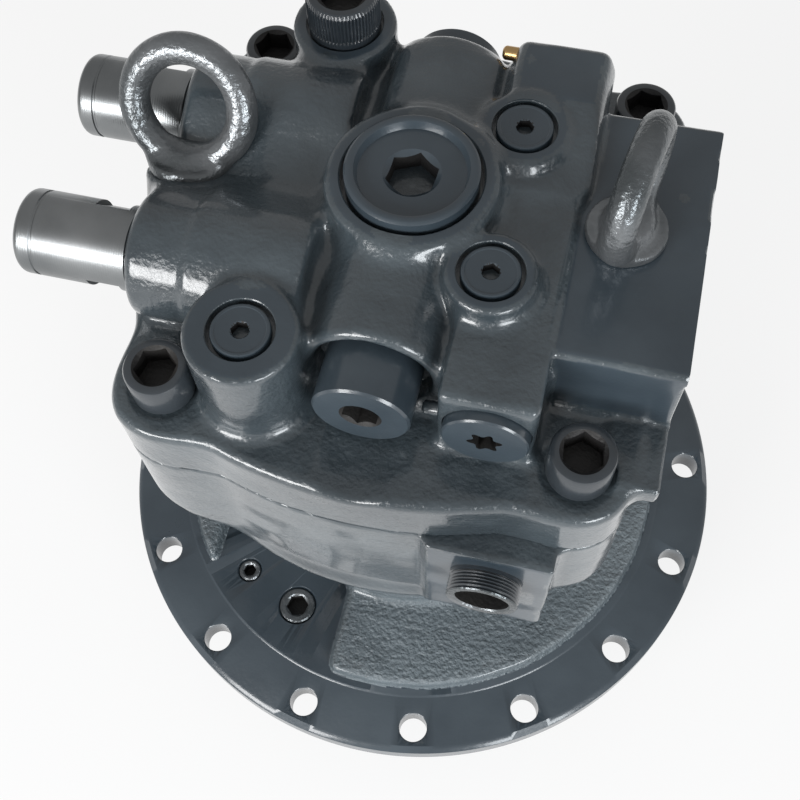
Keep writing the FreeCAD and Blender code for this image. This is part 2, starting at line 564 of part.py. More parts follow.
def drain_fitting():
    """Open adapter for the case drain, screwed into the drain pad."""
    z = "joint_z - drain_drop"
    collar = cylinder("drain_radius", "drain_length", "pad_x", "-" + PAD_FACE, z, along="-y")
    thread = cylinder("drain_thread_radius", "drain_thread", "pad_x", "-" + PAD_FACE, z, along="y")
    bore = cylinder("drain_bore_radius", "drain_thread + drain_length", "pad_x", "drain_thread - " + PAD_FACE, z,
                    along="-y")
    return cut(fuse(collar, thread), bore)


def kidney(side, z, height):
    """A kidney slot over half of the pitch circle, on the +Y side or the -Y side."""
    pieces = []
    for radius in ("kidney_pitch + kidney_half_width", "kidney_pitch - kidney_half_width"):
        sector = cylinder(radius, height, z=z, turn="vector(0; 0; 1); %s * 90 - kidney_angle / 2" % side)
        pieces.append(bind(sector, Angle="kidney_angle"))
    return cut(*pieces, name="Kidney")


def valve_casing_outside():
    """Foot, port block with its lip, valve bar, plateau, dome, deck, towers, bore boss and relief lobes."""
    foot = head_outline("joint_z", "ledge_thick")
    block = box("block_face - port_block_start", "2 * port_block_half", "port_block_top - joint_z",
                "port_block_start", "-port_block_half", "joint_z", name="PortBlock")
    lip = box("lip_width", "2 * lip_half", "lip_thick", "block_face - lip_width", "-lip_half",
              "(%s) - lip_thick" % LEDGE_Z, name="Lip")
    bar = box("bar_end - bar_start", "bar_front + bar_rear", "bar_top - joint_z", "bar_start", "-bar_front",
              "joint_z", name="Bar")
    plateau = box("bar_end - bar_start", "bar_rear - plateau_start", "plateau_z - bar_top", "bar_start",
                  "plateau_start", "bar_top", name="Plateau")
    bosses = []
    for y in ("-makeup_y", "makeup_y"):
        bosses.append(cylinder("makeup_boss", "plateau_z - joint_z", "makeup_x", y, "joint_z"))
    dome = cylinder("dome_radius", "dome_top - joint_z", z="joint_z", name="Dome")
    deck = box("port_block_start - deck_start", "2 * deck_half", "deck_z - joint_z", "deck_start",
               "-deck_half", "joint_z", name="Deck")
    rear_deck = box("rear_deck_end - rear_deck_start", "rear_deck_reach", "rear_deck_z - joint_z",
                    "rear_deck_start", "0", "joint_z", name="RearDeck")
    saddle = box("relief_face + deck_start", "2 * relief_y", "deck_z - joint_z", "-relief_face", "-relief_y",
                 "joint_z", name="Saddle")
    towers = []
    for y in ("-tower_y", "tower_y"):
        towers.append(cylinder("tower_radius", "tower_top - joint_z", "tower_x", y, "joint_z"))
    boss_length = "bore_boss_front + bore_boss_rear"
    boss = cylinder("bore_boss_radius", boss_length, "0", "-bore_boss_front", "bore_z", along="y")
    boss_foot = box("2 * bore_boss_radius", boss_length, "bore_z - joint_z", "-bore_boss_radius",
                    "-bore_boss_front", "joint_z", name="BossFoot")
    lobes = []
    for y in ("-relief_y", "relief_y"):
        lobes.append(cylinder("relief_lobe_radius", "relief_face", "-relief_face", y, "relief_z", along="x"))
    wall_width = "2 * relief_y + relief_lobe_radius"
    wall = box("relief_face + wall_proud + deck_start", wall_width, "wall_top - joint_z",
               "-relief_face - wall_proud", "-(%s) / 2" % wall_width, "joint_z", name="LeftWall")
    eye_boss = cylinder("left_eye_boss", "left_eye_boss_length", "left_eye_x",
                        "left_eye_y - left_eye_boss_length * sin(left_eye_lean)",
                        "left_eye_z - left_eye_boss_length * cos(left_eye_lean)", turn=EYE_TURN,
                        name="EyeBoss")
    return fuse(foot, block, lip, bar, plateau, *bosses, dome, deck, rear_deck, saddle, *towers, boss,
                boss_foot, *lobes, wall, eye_boss)


def valve_casing():
    """The valve casing with its bores, oil ways and tapped holes."""
    tools = []
    for x, y in BOLT_PLACES:
        tools.append(cylinder("main_bolt_hole", "ledge_thick", x, y, "joint_z", name="BoltHole"))
        tools.append(cylinder("main_bolt_room", "port_block_top", x, y, LEDGE_Z, name="HeadRoom"))
    tools.append(cylinder("rear_bearing_radius + fit_gap", "rear_bearing_width + 2 * rear_bearing_lift",
                          z="joint_z", name="RearSeat"))
    for side in (1, -1):
        tools.append(kidney(side, "joint_z", "kidney_depth"))
        port_y = "%s * port_offset" % side
        tools.append(cylinder("port_radius", "block_face - makeup_x + port_way_end", "block_face", port_y,
                              "port_z", along="-x", name="PortWay"))
        way_foot = "joint_z + kidney_depth / 2"
        tools.append(cylinder("down_way_radius", "port_z - (%s)" % way_foot, "makeup_x", port_y, way_foot))
        for across in (-1, 1):
            for up in (-1, 1):
                tools.append(cylinder("port_bolt_radius", "port_bolt_depth", "block_face",
                                      "%s + %s * port_bolt_y / 2" % (port_y, across),
                                      "port_z + %s * port_bolt_z / 2" % up, along="-x", name="PortBolt"))
        plug_y = "%s * makeup_y" % side
        plug_foot = "plateau_z - flush_plug_thick"
        tools.append(cylinder("flush_groove_radius", "flush_groove_depth", "makeup_x", plug_y,
                              "plateau_z - flush_groove_depth", name="PlugGroove"))
        tools.append(cylinder("flush_plug_radius + fit_gap", "flush_plug_thick", "makeup_x", plug_y,
                              plug_foot, name="PlugHole"))
        tools.append(cylinder("makeup_room_radius", "(%s) - makeup_seat_z" % plug_foot, "makeup_x", plug_y,
                              "makeup_seat_z", name="MakeupRoom"))
        tools.append(cylinder("makeup_hole_radius", "makeup_seat_z - port_z", "makeup_x", plug_y,
                              "port_z", name="MakeupHole"))
        relief_y = "%s * relief_y" % side
        bore_length = "relief_face - relief_thread_end + relief_seat_thick"
        tools.append(cylinder("relief_thread_radius + fit_gap", bore_length, "-relief_face", relief_y,
                              "relief_z", along="x", name="ReliefBore"))
        tools.append(cylinder("relief_sleeve_radius + rim_gap", "2 * wall_proud", "-relief_face", relief_y,
                              "relief_z", along="-x", name="SleeveRoom"))
        tools.append(cylinder("relief_way", "relief_thread_end + makeup_x - makeup_room_radius / 2",
                              "-relief_thread_end", relief_y, "relief_z", along="x", name="ReliefWay"))
        seat_y = "%s * bore_plug_seat" % side
        outwards = "y" if side == 1 else "-y"
        inwards = "-y" if side == 1 else "y"
        tools.append(cylinder("bore_room_radius", "bore_plug_reach", "0", seat_y, "bore_z", along=outwards,
                              name="PlugRoom"))
        tools.append(cylinder("bore_thread_radius + fit_gap", "bore_thread_length", "0", seat_y, "bore_z",
                              along=inwards, name="PlugThread"))
        bar_face = "-bar_front" if side == -1 else "bar_rear"
        inner = "(%s) - %s * (bar_plug_thick - bar_plug_proud)" % (bar_face, side)
        tools.append(cylinder("bar_plug_radius + slack", "bar_plug_thick", "bar_plug_x", inner, "bar_plug_z",
                              along=outwards, name="BarPlugRoom"))
        tools.append(cylinder("bar_thread_radius + fit_gap", "bar_thread_length + drill_room", "bar_plug_x",
                              inner, "bar_plug_z", along=inwards, name="BarThread"))
    tools.append(cylinder("bore_radius", "2 * bore_plug_seat", "0", "-bore_plug_seat", "bore_z", along="y"))
    tower_foot = "tower_top - flush_plug_thick"
    tools.append(cylinder("flush_groove_radius", "flush_groove_depth", "tower_x", "-tower_y",
                          "tower_top - flush_groove_depth", name="PlugGroove"))
    tools.append(cylinder("flush_plug_radius + fit_gap", "flush_plug_thick", "tower_x", "-tower_y",
                          tower_foot, name="PlugHole"))
    tools.append(cylinder("knurl_room", "2 * knurl_sink", "tower_x", "tower_y", "tower_top - knurl_sink",
                          name="KnurlRoom"))
    tools.append(cylinder("knurl_thread + fit_gap", "knurl_length + drill_room", "tower_x", "tower_y",
                          "tower_top - knurl_length - drill_room", name="KnurlHole"))
    tools.append(cylinder("centre_plug_radius + rim_gap", "dome_top - centre_plug_seat",
                          z="centre_plug_seat", name="CentreRoom"))
    tools.append(cylinder("centre_thread_radius + fit_gap", "centre_plug_seat - centre_thread_bottom",
                          z="centre_thread_bottom", name="CentreThread"))
    eye_depth = "(eye_thread_length + drill_room)"
    tools.append(cylinder("eye_thread_radius + fit_gap", eye_depth, "right_eye_x", "0",
                          "port_block_top - %s" % eye_depth, name="EyeHole"))
    tools.append(cylinder("eye_thread_radius + fit_gap", eye_depth, "left_eye_x",
                          "left_eye_y - %s * sin(left_eye_lean)" % eye_depth,
                          "left_eye_z - %s * cos(left_eye_lean)" % eye_depth, turn=EYE_TURN, name="EyeHole"))
    tools.append(cylinder("eye_collar_radius + rim_gap", "2 * eye_height", "left_eye_x", "left_eye_y",
                          "left_eye_z", turn=EYE_TURN, name="EyeRoom"))
    ring_room = torus("eye_ring_radius", "eye_section + rim_gap", name="RingRoom")
    tools.append(place(ring_room, "left_eye_x", "left_eye_y + eye_height * sin(left_eye_lean)",
                       "left_eye_z + eye_height * cos(left_eye_lean)",
                       turn="vector(1; 0; 0); -90 - left_eye_lean"))
    for y, z in (("front_pin_y", "front_pin_z"), ("rear_pin_y", "rear_pin_z")):
        tools.append(cylinder("pin_radius + fit_gap", "pin_depth + pin_proud", "bar_start - pin_proud", y, z,
                              along="x", name="PinHole"))
    return cut(valve_casing_outside(), *tools)


def drive_shaft():
    """Output spline, seal and bearing journals, the block's spline and the rear journal."""
    output = spline("output_root_radius", "output_tip_radius", "output_tooth_width", "output_teeth",
                    "output_spline_length", "-shaft_tail")
    collar_z = "output_spline_length - shaft_tail"
    journal = cylinder("bearing_journal", "bearing_seat_z + bearing_width - (%s)" % collar_z, z=collar_z)
    body_z = "bearing_seat_z + bearing_width"
    guide_z = "(%s) - guide_below" % BALL_Z
    body = cylinder("shaft_body_radius", "(%s) - (%s)" % (guide_z, body_z), z=body_z)
    drive_top = "(%s) - spring_room_depth" % BLOCK_TOP
    drive = spline("drive_root_radius", "drive_tip_radius", "drive_tooth_width", "drive_teeth",
                   "(%s) - (%s)" % (drive_top, guide_z), guide_z)
    neck = cylinder("shaft_neck_radius", "(%s) - (%s)" % (BLOCK_TOP, drive_top), z=drive_top)
    rear_length = "valve_plate_thick + rear_bearing_lift + rear_bearing_width"
    rear = cylinder("rear_journal", rear_length, z=BLOCK_TOP)
    return fuse(output, journal, body, drive, neck, rear)


def rollers(inner, outer, count, width, z):
    """Bearing rollers between two raceways, with the two end rings of their cage."""
    pitch = "((%s) + (%s)) / 2" % (inner, outer)
    radius = "((%s) - (%s)) / 2 - fit_gap" % (outer, inner)
    ring = "(%s) / 2" % radius
    items = []
    end = "(cage_thick + 2 * slack)"
    for angle in around(size[count]):
        x, y = polar(pitch, angle)
        length = "(%s) - 2 * %s" % (width, end)
        items.append(cylinder(radius, length, x, y, "(%s) + %s" % (z, end), name="Roller"))
    for level in ("(%s) + slack" % z, "(%s) + (%s) - cage_thick - slack" % (z, width)):
        items.append(tube("(%s) + %s" % (pitch, ring), "(%s) - %s" % (pitch, ring), "cage_thick", z=level))
    return group(*items)


def swash_point(height, pitch="0", angle=0):
    """A point over the tilted swash plane: height along its normal, pitch and angle within it."""
    x = "(%s) * cos(%s) * cos(swash_angle) - (%s) * sin(swash_angle)" % (pitch, angle, height)
    y = "(%s) * sin(%s)" % (pitch, angle)
    z = "swash_z + (%s) * cos(%s) * sin(swash_angle) + (%s) * cos(swash_angle)" % (pitch, angle, height)
    return x, y, z


def swash_plate():
    """Wear plate under the shoes, lying tilted on the casing's seat."""
    x, y, z = swash_point("-swash_thick")
    ring = cut(cylinder("swash_radius", "swash_thick - slack"), cylinder("swash_bore", "swash_thick - slack"))
    return place(ring, x, y, z, turn=TILT)


def ball_point(angle):
    """Centre of a piston's ball."""
    x, y = polar("piston_pitch", angle)
    return x, y, "(%s) + piston_pitch * tan(swash_angle) * cos(%s)" % (BALL_Z, angle)


def piston(angle):
    """Hollow piston with a ball at its foot."""
    ball = sphere("ball_radius")
    neck = cylinder("piston_neck_radius", "piston_neck_length")
    skirt = cylinder("piston_radius", "piston_length - piston_neck_length", z="piston_neck_length")
    hollow = cylinder("piston_hollow", "piston_length", z="piston_neck_length + piston_hollow")
    oil = cylinder("oil_hole_radius", "2 * piston_length", z="-piston_length")
    item = cut(fuse(ball, neck, skirt), hollow, oil, name="Piston")
    return place(item, *ball_point(angle))


def shoe(angle):
    """Shoe that slides on the swash plate and holds a piston's ball."""
    pad = cylinder("shoe_radius", "shoe_pad_thick", z="-ball_height + fit_gap")
    neck = cylinder("shoe_neck_radius", "ball_height + shoe_lip - fit_gap", z="-ball_height + fit_gap")
    socket = sphere("ball_radius + 2 * fit_gap")
    oil = cylinder("oil_hole_radius", "ball_height", z="-ball_height")
    pool = cylinder("shoe_radius / 2", "oil_hole_radius", z="-ball_height")
    item = cut(fuse(pad, neck), socket, oil, pool, name="Shoe")
    return place(item, *ball_point(angle), turn=TILT)


def retainer_plate():
    """Plate that holds the shoes down, with a hole for each shoe and a round seat for its guide."""
    blank = cylinder("retainer_radius", "retainer_thick", z="shoe_pad_thick + slack - ball_height")
    holes = []
    hole_radius = "shoe_neck_radius + %s + slack" % JOINT_PLAY
    for angle in around(size["pistons"]):
        x, y = polar("piston_pitch + %s" % JOINT_PLAY, angle)
        holes.append(cylinder(hole_radius, "2 * ball_height", x, y, "-ball_height"))
    item = cut(blank, *holes, sphere("guide_radius + 2 * fit_gap"), name="Retainer")
    return place(item, z=BALL_Z, turn=TILT)


def retainer_guide():
    """Ball-shaped guide that presses the retainer plate down, splined to the shaft."""
    height = "guide_below + guide_above"
    zone = common(sphere("guide_radius"), cylinder("guide_radius", height, z="-guide_below"))
    hole = spline("drive_root_radius", "drive_tip_radius", "drive_tooth_width", "drive_teeth", height,
                  "-guide_below", slack="fit_gap")
    return place(cut(zone, hole, name="Guide"), z=BALL_Z)


def cylinder_block():
    """Barrel with a bore for each piston, splined to the shaft, with grooves for the friction plates."""
    barrel = cylinder("block_radius", "(%s) - (%s)" % (BLOCK_TOP, BLOCK_Z), z=BLOCK_Z, name="Barrel")
    tools = []
    bore_top = "(%s) + piston_pitch * tan(swash_angle) + piston_length + piston_end_room" % BALL_Z
    for angle in around(size["pistons"]):
        x, y = polar("piston_pitch", angle)
        tools.append(cylinder("piston_radius + fit_gap", "(%s) - (%s)" % (bore_top, BLOCK_Z), x, y, BLOCK_Z))
        x, y = polar("kidney_pitch", angle)
        tools.append(cylinder("block_port_radius", "(%s) - (%s) + 1" % (BLOCK_TOP, bore_top), x, y,
                              "(%s) - 1" % bore_top))
    room_z = "(%s) - spring_room_depth" % BLOCK_TOP
    tools.append(cylinder("spring_room_radius", "spring_room_depth", z=room_z))
    tools.append(spline("drive_root_radius", "drive_tip_radius", "drive_tooth_width", "drive_teeth",
                        "(%s) - (%s)" % (room_z, BLOCK_Z), BLOCK_Z, slack="fit_gap"))
    under_room = "(%s) - (%s)" % (room_z, BLOCK_Z)
    for angle in around(3, 20):
        x, y = polar("thrust_pin_pitch", angle)
        tools.append(cylinder("thrust_pin_radius + fit_gap", under_room, x, y, BLOCK_Z))
    groove_length = "(%s) - (%s)" % (STACK_TOP, BLOCK_Z)
    for angle in around(size["pistons"], 180 / size["pistons"]):
        turn = "vector(0; 0; 1); %s" % angle
        start = "(block_radius - brake_tooth_depth)"
        half = "(brake_tooth_width / 2 + slack / 2)"
        x = "%s * cos(%s) + %s * sin(%s)" % (start, angle, half, angle)
        y = "%s * sin(%s) - %s * cos(%s)" % (start, angle, half, angle)
        tools.append(box("2 * brake_tooth_depth", "brake_tooth_width + slack", groove_length, x, y, BLOCK_Z,
                         turn=turn, name="Groove"))
    return cut(barrel, *tools, name="Block")


def thrust_pins():
    """Washer under the block spring and the three pins that carry its thrust to the guide."""
    room_z = "(%s) - spring_room_depth" % BLOCK_TOP
    foot = "(%s) + guide_above" % BALL_Z
    washer = tube("spring_room_radius - slack", "shaft_neck_radius + slack", "washer_thick", z=room_z)
    items = [washer]
    for angle in around(3, 20):
        x, y = polar("thrust_pin_pitch", angle)
        items.append(cylinder("thrust_pin_radius", "(%s) - (%s)" % (room_z, foot), x, y, foot))
    return group(*items)


def valve_plate():
    """Plate with the two kidney slots, between the turning block and the valve casing."""
    disc = tube("valve_plate_radius", "valve_plate_bore", "valve_plate_thick", z=BLOCK_TOP, name="Disc")
    return cut(disc, kidney(1, BLOCK_TOP, "valve_plate_thick"), kidney(-1, BLOCK_TOP, "valve_plate_thick"))


def friction_plates():
    """Plates that turn with the block, toothed into its grooves."""
    plates = []
    pitch = "2 * (plate_thick + plate_gap)"
    for index in range(int(size["friction_plate_count"])):
        z = "brake_ledge_z + plate_thick + plate_gap + %d * %s" % (index, pitch)
        ring = tube("friction_radius", "block_radius + slack", "plate_thick", z=z, name="Friction")
        teeth = []
        for angle in around(size["pistons"], 180 / size["pistons"]):
            turn = "vector(0; 0; 1); %s" % angle
            start = "(block_radius - brake_tooth_depth + slack / 2)"
            x = "%s * cos(%s) + brake_tooth_width / 2 * sin(%s)" % (start, angle, angle)
            y = "%s * sin(%s) - brake_tooth_width / 2 * cos(%s)" % (start, angle, angle)
            teeth.append(box("2 * brake_tooth_depth", "brake_tooth_width", "plate_thick", x, y, z, turn=turn))
        plates.append(fuse(ring, *teeth))
    return group(*plates)


def separator_plates():
    """Plates that stay with the casing, with four lugs in its slots."""
    plates = []
    pitch = "2 * (plate_thick + plate_gap)"
    for index in range(int(size["friction_plate_count"]) + 1):
        z = "brake_ledge_z + %d * %s" % (index, pitch)
        lugs = []
        for angle in around(4, 45):
            turn = "vector(0; 0; 1); %s" % angle
            x = "lug_width / 2 * sin(%s)" % angle
            y = "-lug_width / 2 * cos(%s)" % angle
            lugs.append(box("lug_reach", "lug_width", "plate_thick", x, y, z, turn=turn, name="Lug"))
        disc = cylinder("brake_bore - slack", "plate_thick", z=z)
        plates.append(cut(fuse(disc, *lugs), cylinder("separator_bore", "plate_thick", z=z)))
    return group(*plates)


def brake_piston():
    """Stepped ring that the springs press on the plates and oil pressure lifts."""
    foot = "(%s) + plate_gap" % STACK_TOP
    lower = cylinder("brake_bore - fit_gap", "%s - (%s)" % (PISTON_TOP, foot), z=foot)
    upper_height = "%s - brake_piston_step" % PISTON_TOP
    upper = cylinder("brake_upper_bore - fit_gap", upper_height, z="brake_piston_step")
    tools = [cylinder("brake_piston_bore", "joint_z", name="PistonHole")]
    for angle in around(size["brake_spring_count"], 18):
        x, y = polar("brake_spring_pitch", angle)
        tools.append(cylinder("brake_pocket_radius", "brake_pocket_depth", x, y,
                              "%s - brake_pocket_depth" % PISTON_TOP, name="Pocket"))
    for radius, z in (("brake_bore", "seal_groove_z"), ("brake_upper_bore", "upper_groove_z")):
        tools.append(tube("%s + 1" % radius, "%s - 2 * seal_ring - slack" % radius, "2 * seal_ring + slack",
                          z="%s - seal_ring - slack / 2" % z, name="RingGroove"))
    return cut(fuse(lower, upper), *tools, name="BrakePiston")


def brake_seals():
    """The two sealing rings of the brake piston."""
    rings = []
    for radius, z in (("brake_bore", "seal_groove_z"), ("brake_upper_bore", "upper_groove_z")):
        rings.append(torus("%s - seal_ring - slack / 2 - fit_gap" % radius, "seal_ring", z=z))
    return group(*rings)


def relief_sleeves():
    """Turned sleeves that hold the relief valves, screwed into the lobes."""
    sleeves = []
    for side in (-1, 1):
        y = "%s * relief_y" % side
        barrel = cylinder("relief_sleeve_radius", "relief_sleeve_end - relief_sleeve_chamfer - relief_face",
                          "-relief_face", y, "relief_z", along="-x", name="Sleeve")
        end = cone("relief_sleeve_radius", "relief_sleeve_radius - relief_sleeve_chamfer",
                   "relief_sleeve_chamfer", "relief_sleeve_chamfer - relief_sleeve_end", y, "relief_z",
                   along="-x", name="SleeveEnd")
        thread = cylinder("relief_thread_radius", "relief_face - relief_thread_end", "-relief_face", y,
                          "relief_z", along="x", name="SleeveThread")
        inner = "relief_thread_end + relief_seat_thick"
        bore = cylinder("relief_bore", "relief_sleeve_end - relief_wall - (%s)" % inner, "-(%s)" % inner, y,
                        "relief_z", along="-x", name="SleeveBore")
        seat = cylinder("relief_seat_radius", "relief_seat_thick + 1", "-relief_thread_end", y, "relief_z",
                        along="-x", name="SleeveSeat")
        flats = []
        for up in (-1, 1):
            level = "relief_z + %s * relief_sleeve_radius - relief_flat / 2" % up
            flats.append(box("relief_flat_width", "2 * relief_sleeve_radius", "relief_flat",
                             "-relief_face - relief_flat_width", "(%s) - relief_sleeve_radius" % y, level,
                             name="Flat"))
        sleeves.append(cut(fuse(barrel, end, thread), bore, seat, *flats))
    return group(*sleeves)


def relief_poppet(side):
    """Poppet that closes a relief valve's seat."""
    y = "%s * relief_y" % side
    x = "-(relief_thread_end + relief_seat_thick + slack)"
    body = cylinder("relief_bore - fit_gap", "relief_poppet_length", x, y, "relief_z", along="-x")
    nose = cone("relief_seat_radius - slack", "slack", "relief_seat_thick", x, y, "relief_z", along="x")
    return fuse(body, nose)


def makeup_poppet(side):
    """Disc with a stem that opens a make-up valve upwards."""
    y = "%s * makeup_y" % side
    disc = cylinder("makeup_poppet_radius", "makeup_poppet_thick", "makeup_x", y, "makeup_seat_z")
    stem = cylinder("makeup_stem_radius", "makeup_poppet_thick", "makeup_x", y,
                    "makeup_seat_z - makeup_poppet_thick")
    return fuse(disc, stem)


def socket_plug(radius, thick, hexagon_size, x, y, top):
    """Flush screw plug with a hexagon socket, upright."""
    body = cylinder(radius, thick, x, y, "(%s) - (%s)" % (top, thick), name="Plug")
    socket = hexagon(hexagon_size, "(%s) / 2" % thick, x, y, "(%s) - (%s) / 2" % (top, thick))
    return cut(body, socket)


def flush_plugs():
    """The plugs over the make-up valves and in the front tower."""
    rows = (("makeup_x", "makeup_y", "plateau_z"), ("makeup_x", "-makeup_y", "plateau_z"),
            ("tower_x", "-tower_y", "tower_top"))
    return group(*[socket_plug("flush_plug_radius", "flush_plug_thick", "flush_hex", *row) for row in rows])


def centre_plug():
    """Large plug in the dome, with a raised rim and a hexagon socket."""
    head_height = "centre_plug_top - centre_plug_seat"
    head = cylinder("centre_plug_radius", head_height, z="centre_plug_seat")
    thread_length = "centre_plug_seat - centre_thread_bottom"
    thread = cylinder("centre_thread_radius", thread_length, z="centre_thread_bottom")
    recess = cylinder("centre_plug_recess", "centre_recess_depth", z="centre_plug_top - centre_recess_depth")
    socket = hexagon("centre_hex", head_height, z="centre_plug_seat")
    return cut(fuse(head, thread), recess, socket)


def knurled_screw():
    """Socket screw that closes the rear tower."""
    head = cylinder("knurl_radius", "knurl_height + knurl_sink", "tower_x", "tower_y",
                    "tower_top - knurl_sink", name="KnurlHead")
    thread = cylinder("knurl_thread", "knurl_length", "tower_x", "tower_y", "tower_top - knurl_length")
    socket = hexagon("knurl_hex", "knurl_height", "tower_x", "tower_y", "tower_top + knurl_height / 2")
    return cut(fuse(head, thread), socket)


def bore_plugs():
    """The two large plugs at the ends of the cross bore."""
    plugs = []
    length = "bore_plug_reach - bore_plug_seat"
    for side, outwards, inwards in ((-1, "-y", "y"), (1, "y", "-y")):
        seat = "%s * bore_plug_seat" % side
        head = cylinder("bore_plug_radius", length, "0", seat, "bore_z", along=outwards)
        thread = cylinder("bore_thread_radius", "bore_thread_length", "0", seat, "bore_z", along=inwards)
        face = "%s * bore_plug_reach" % side
        socket = hexagon("bore_hex", "bore_hex_depth", "0", face, "bore_z", along=inwards)
        plugs.append(cut(fuse(head, thread), socket))
    return group(*plugs)


def bar_plugs():
    """The two flush plugs with a star socket at the ends of the valve bar."""
    plugs = []
    rows = (("-bar_front - bar_plug_proud", -1, "y"), ("bar_rear + bar_plug_proud", 1, "-y"))
    for face, side, inwards in rows:
        head = cylinder("bar_plug_radius", "bar_plug_thick", "bar_plug_x", face, "bar_plug_z", along=inwards)
        inner = "(%s) - %s * bar_plug_thick" % (face, side)
        thread = cylinder("bar_thread_radius", "bar_thread_length", "bar_plug_x", inner, "bar_plug_z",
                          along=inwards)
        points = []
        for spin in (0, 60):
            point = doc.addObject("Part::Prism", "Star")
            point.Polygon = 3
            bind(point, Circumradius="bar_star_radius", Height="bar_plug_thick")
            axis = "0; 0; -90" if side == -1 else "0; 0; 90"
            points.append(place(point, "bar_plug_x", face, "bar_plug_z", turn=axis))
            point.FirstAngle = 0
            if spin:
                turn = "180; 0; -90" if side == 1 else "180; 0; 90"
                place(point, "bar_plug_x", face, "bar_plug_z", turn=turn)
        plugs.append(cut(fuse(head, thread), fuse(*points)))
    return group(*plugs)


def shuttle_spool():
    """Spool that shuttles in the cross bore and damps the swing's rebound."""
    half = "bore_plug_seat - bore_thread_length - spool_travel - slack"
    body = cylinder("bore_radius - fit_gap", "2 * (%s)" % half, "0", "-(%s)" % half, "bore_z", along="y")
    grooves = []
    for y in ("-relief_y", "0", "relief_y"):
        grooves.append(tube("bore_radius", "bore_radius - spool_groove", "relief_way * 2", "0",
                            "(%s) - relief_way" % y, "bore_z", along="y"))
    return cut(body, *grooves, name="Spool")


def main_bolts():
    """The four socket screws that clamp the valve casing on the casing."""
    bolts = []
    shank_foot = "(%s) - main_bolt_length" % LEDGE_Z
    socket_foot = "(%s) + main_bolt_head_height / 2" % LEDGE_Z
    for x, y in BOLT_PLACES:
        shank = cylinder("main_bolt_radius", "main_bolt_length", x, y, shank_foot)
        head = cylinder("main_bolt_head", "main_bolt_head_height", x, y, LEDGE_Z, name="BoltHead")
        socket = hexagon("main_bolt_hex", "main_bolt_head_height", x, y, socket_foot)
        bolts.append(cut(fuse(shank, head), socket))
    return group(*bolts)


def eye_bolt(name):
    """Forged eye bolt with its collar and thread, upright on its seat."""
    ring = cut(torus("eye_ring_radius", "eye_section", z="eye_height", along="y"),
               cylinder("eye_collar_radius", "eye_height", z="-eye_height"))
    foot = cone("eye_collar_radius - eye_foot_step", "eye_section", "eye_section",
                name="EyeFoot")
    collar = cylinder("eye_collar_radius", "eye_collar_thick", name="EyeCollar")
    thread = cylinder("eye_thread_radius", "eye_thread_length", z="-eye_thread_length")
    return fuse(ring, foot, collar, thread, name=name)


def eye_bolts():
    """The lifting eye on the port block and the leaning one between the relief valves."""
    right = place(eye_bolt("RightEye"), "right_eye_x", "0", "port_block_top",
                  turn="vector(0; 0; 1); right_eye_turn")
    left = place(eye_bolt("LeftEye"), "left_eye_x", "left_eye_y", "left_eye_z", turn=EYE_TURN)
    return group(right, left)


def small_pins():
    """Two small pins that stand out of the bar's left side."""
    rows = (("front_pin_y", "front_pin_z"), ("rear_pin_y", "rear_pin_z"))
    return group(*[cylinder("pin_radius", "pin_depth + pin_proud", "bar_start - pin_proud", y, z, along="x")
                   for y, z in rows])


def block_spring():
    """Spring that presses the block on the valve plate."""
    foot = "(%s) - spring_room_depth + washer_thick" % BLOCK_TOP
    length = "(spring_room_depth - washer_thick - slack)"
    spring = coil_spring("block_spring_radius", "block_spring_wire", length, "block_spring_turns")
    return place(spring, z=foot)


def brake_springs():
    """The springs in the pockets of the brake piston, up to the valve casing."""
    foot = "%s - brake_pocket_depth" % PISTON_TOP
    springs = []
    for angle in around(size["brake_spring_count"], 18):
        x, y = polar("brake_spring_pitch", angle)
        spring = coil_spring("(brake_pocket_radius - brake_spring_wire - slack)", "brake_spring_wire",
                             "(joint_z - (%s))" % foot, "brake_spring_turns")
        springs.append(place(spring, x, y, foot))
    return group(*springs)


def relief_spring(side):
    """Spring behind a relief poppet, up to the sleeve's closed end."""
    foot = "(relief_thread_end + relief_seat_thick + slack + relief_poppet_length)"
    spring = coil_spring("(relief_bore - relief_spring_wire - slack)", "relief_spring_wire",
                         "(relief_sleeve_end - relief_wall - %s)" % foot, "relief_spring_turns")
    return place(spring, "-%s" % foot, "%s * relief_y" % side, "relief_z", along="-x")


def makeup_spring(side):
    """Spring between a make-up poppet and its plug."""
    foot = "(makeup_seat_z + makeup_poppet_thick)"
    spring = coil_spring("(makeup_poppet_radius - 2 * makeup_spring_wire)", "makeup_spring_wire",
                         "(plateau_z - flush_plug_thick - %s)" % foot, "makeup_spring_turns")
    return place(spring, "makeup_x", "%s * makeup_y" % side, foot)


# The pieces that stand still.
subpart("casing", casing())
subpart("valve_casing", valve_casing())
subpart("casing_plugs", casing_plugs())
subpart("drain_fitting", drain_fitting())
subpart("shaft_seal", tube("seal_radius - fit_gap", "bearing_journal + fit_gap", "seal_height",
                           z="bearing_seat_z - seal_height - seal_gap"))
subpart("front_bearing_outer_race", tube("bearing_radius", "bearing_radius - race_thick", "bearing_width",
                                         z="bearing_seat_z"))
subpart("rear_bearing_race", tube("rear_bearing_radius", "rear_bearing_radius - rear_race_thick",
                                  "rear_bearing_width", z="joint_z + rear_bearing_lift"))
subpart("swash_plate", swash_plate())
subpart("valve_plate", valve_plate())
subpart("separator_plates", separator_plates())
subpart("joint_seal", torus("joint_seal_radius", "seal_ring - fit_gap", z="joint_z - seal_ring"))
subpart("relief_sleeves", relief_sleeves())
subpart("flush_plugs", flush_plugs())
subpart("centre_plug", centre_plug())
subpart("knurled_screw", knurled_screw())
subpart("bore_plugs", bore_plugs())
subpart("bar_plugs", bar_plugs())
subpart("main_bolts", main_bolts())
subpart("eye_bolts", eye_bolts())
subpart("small_pins", small_pins())

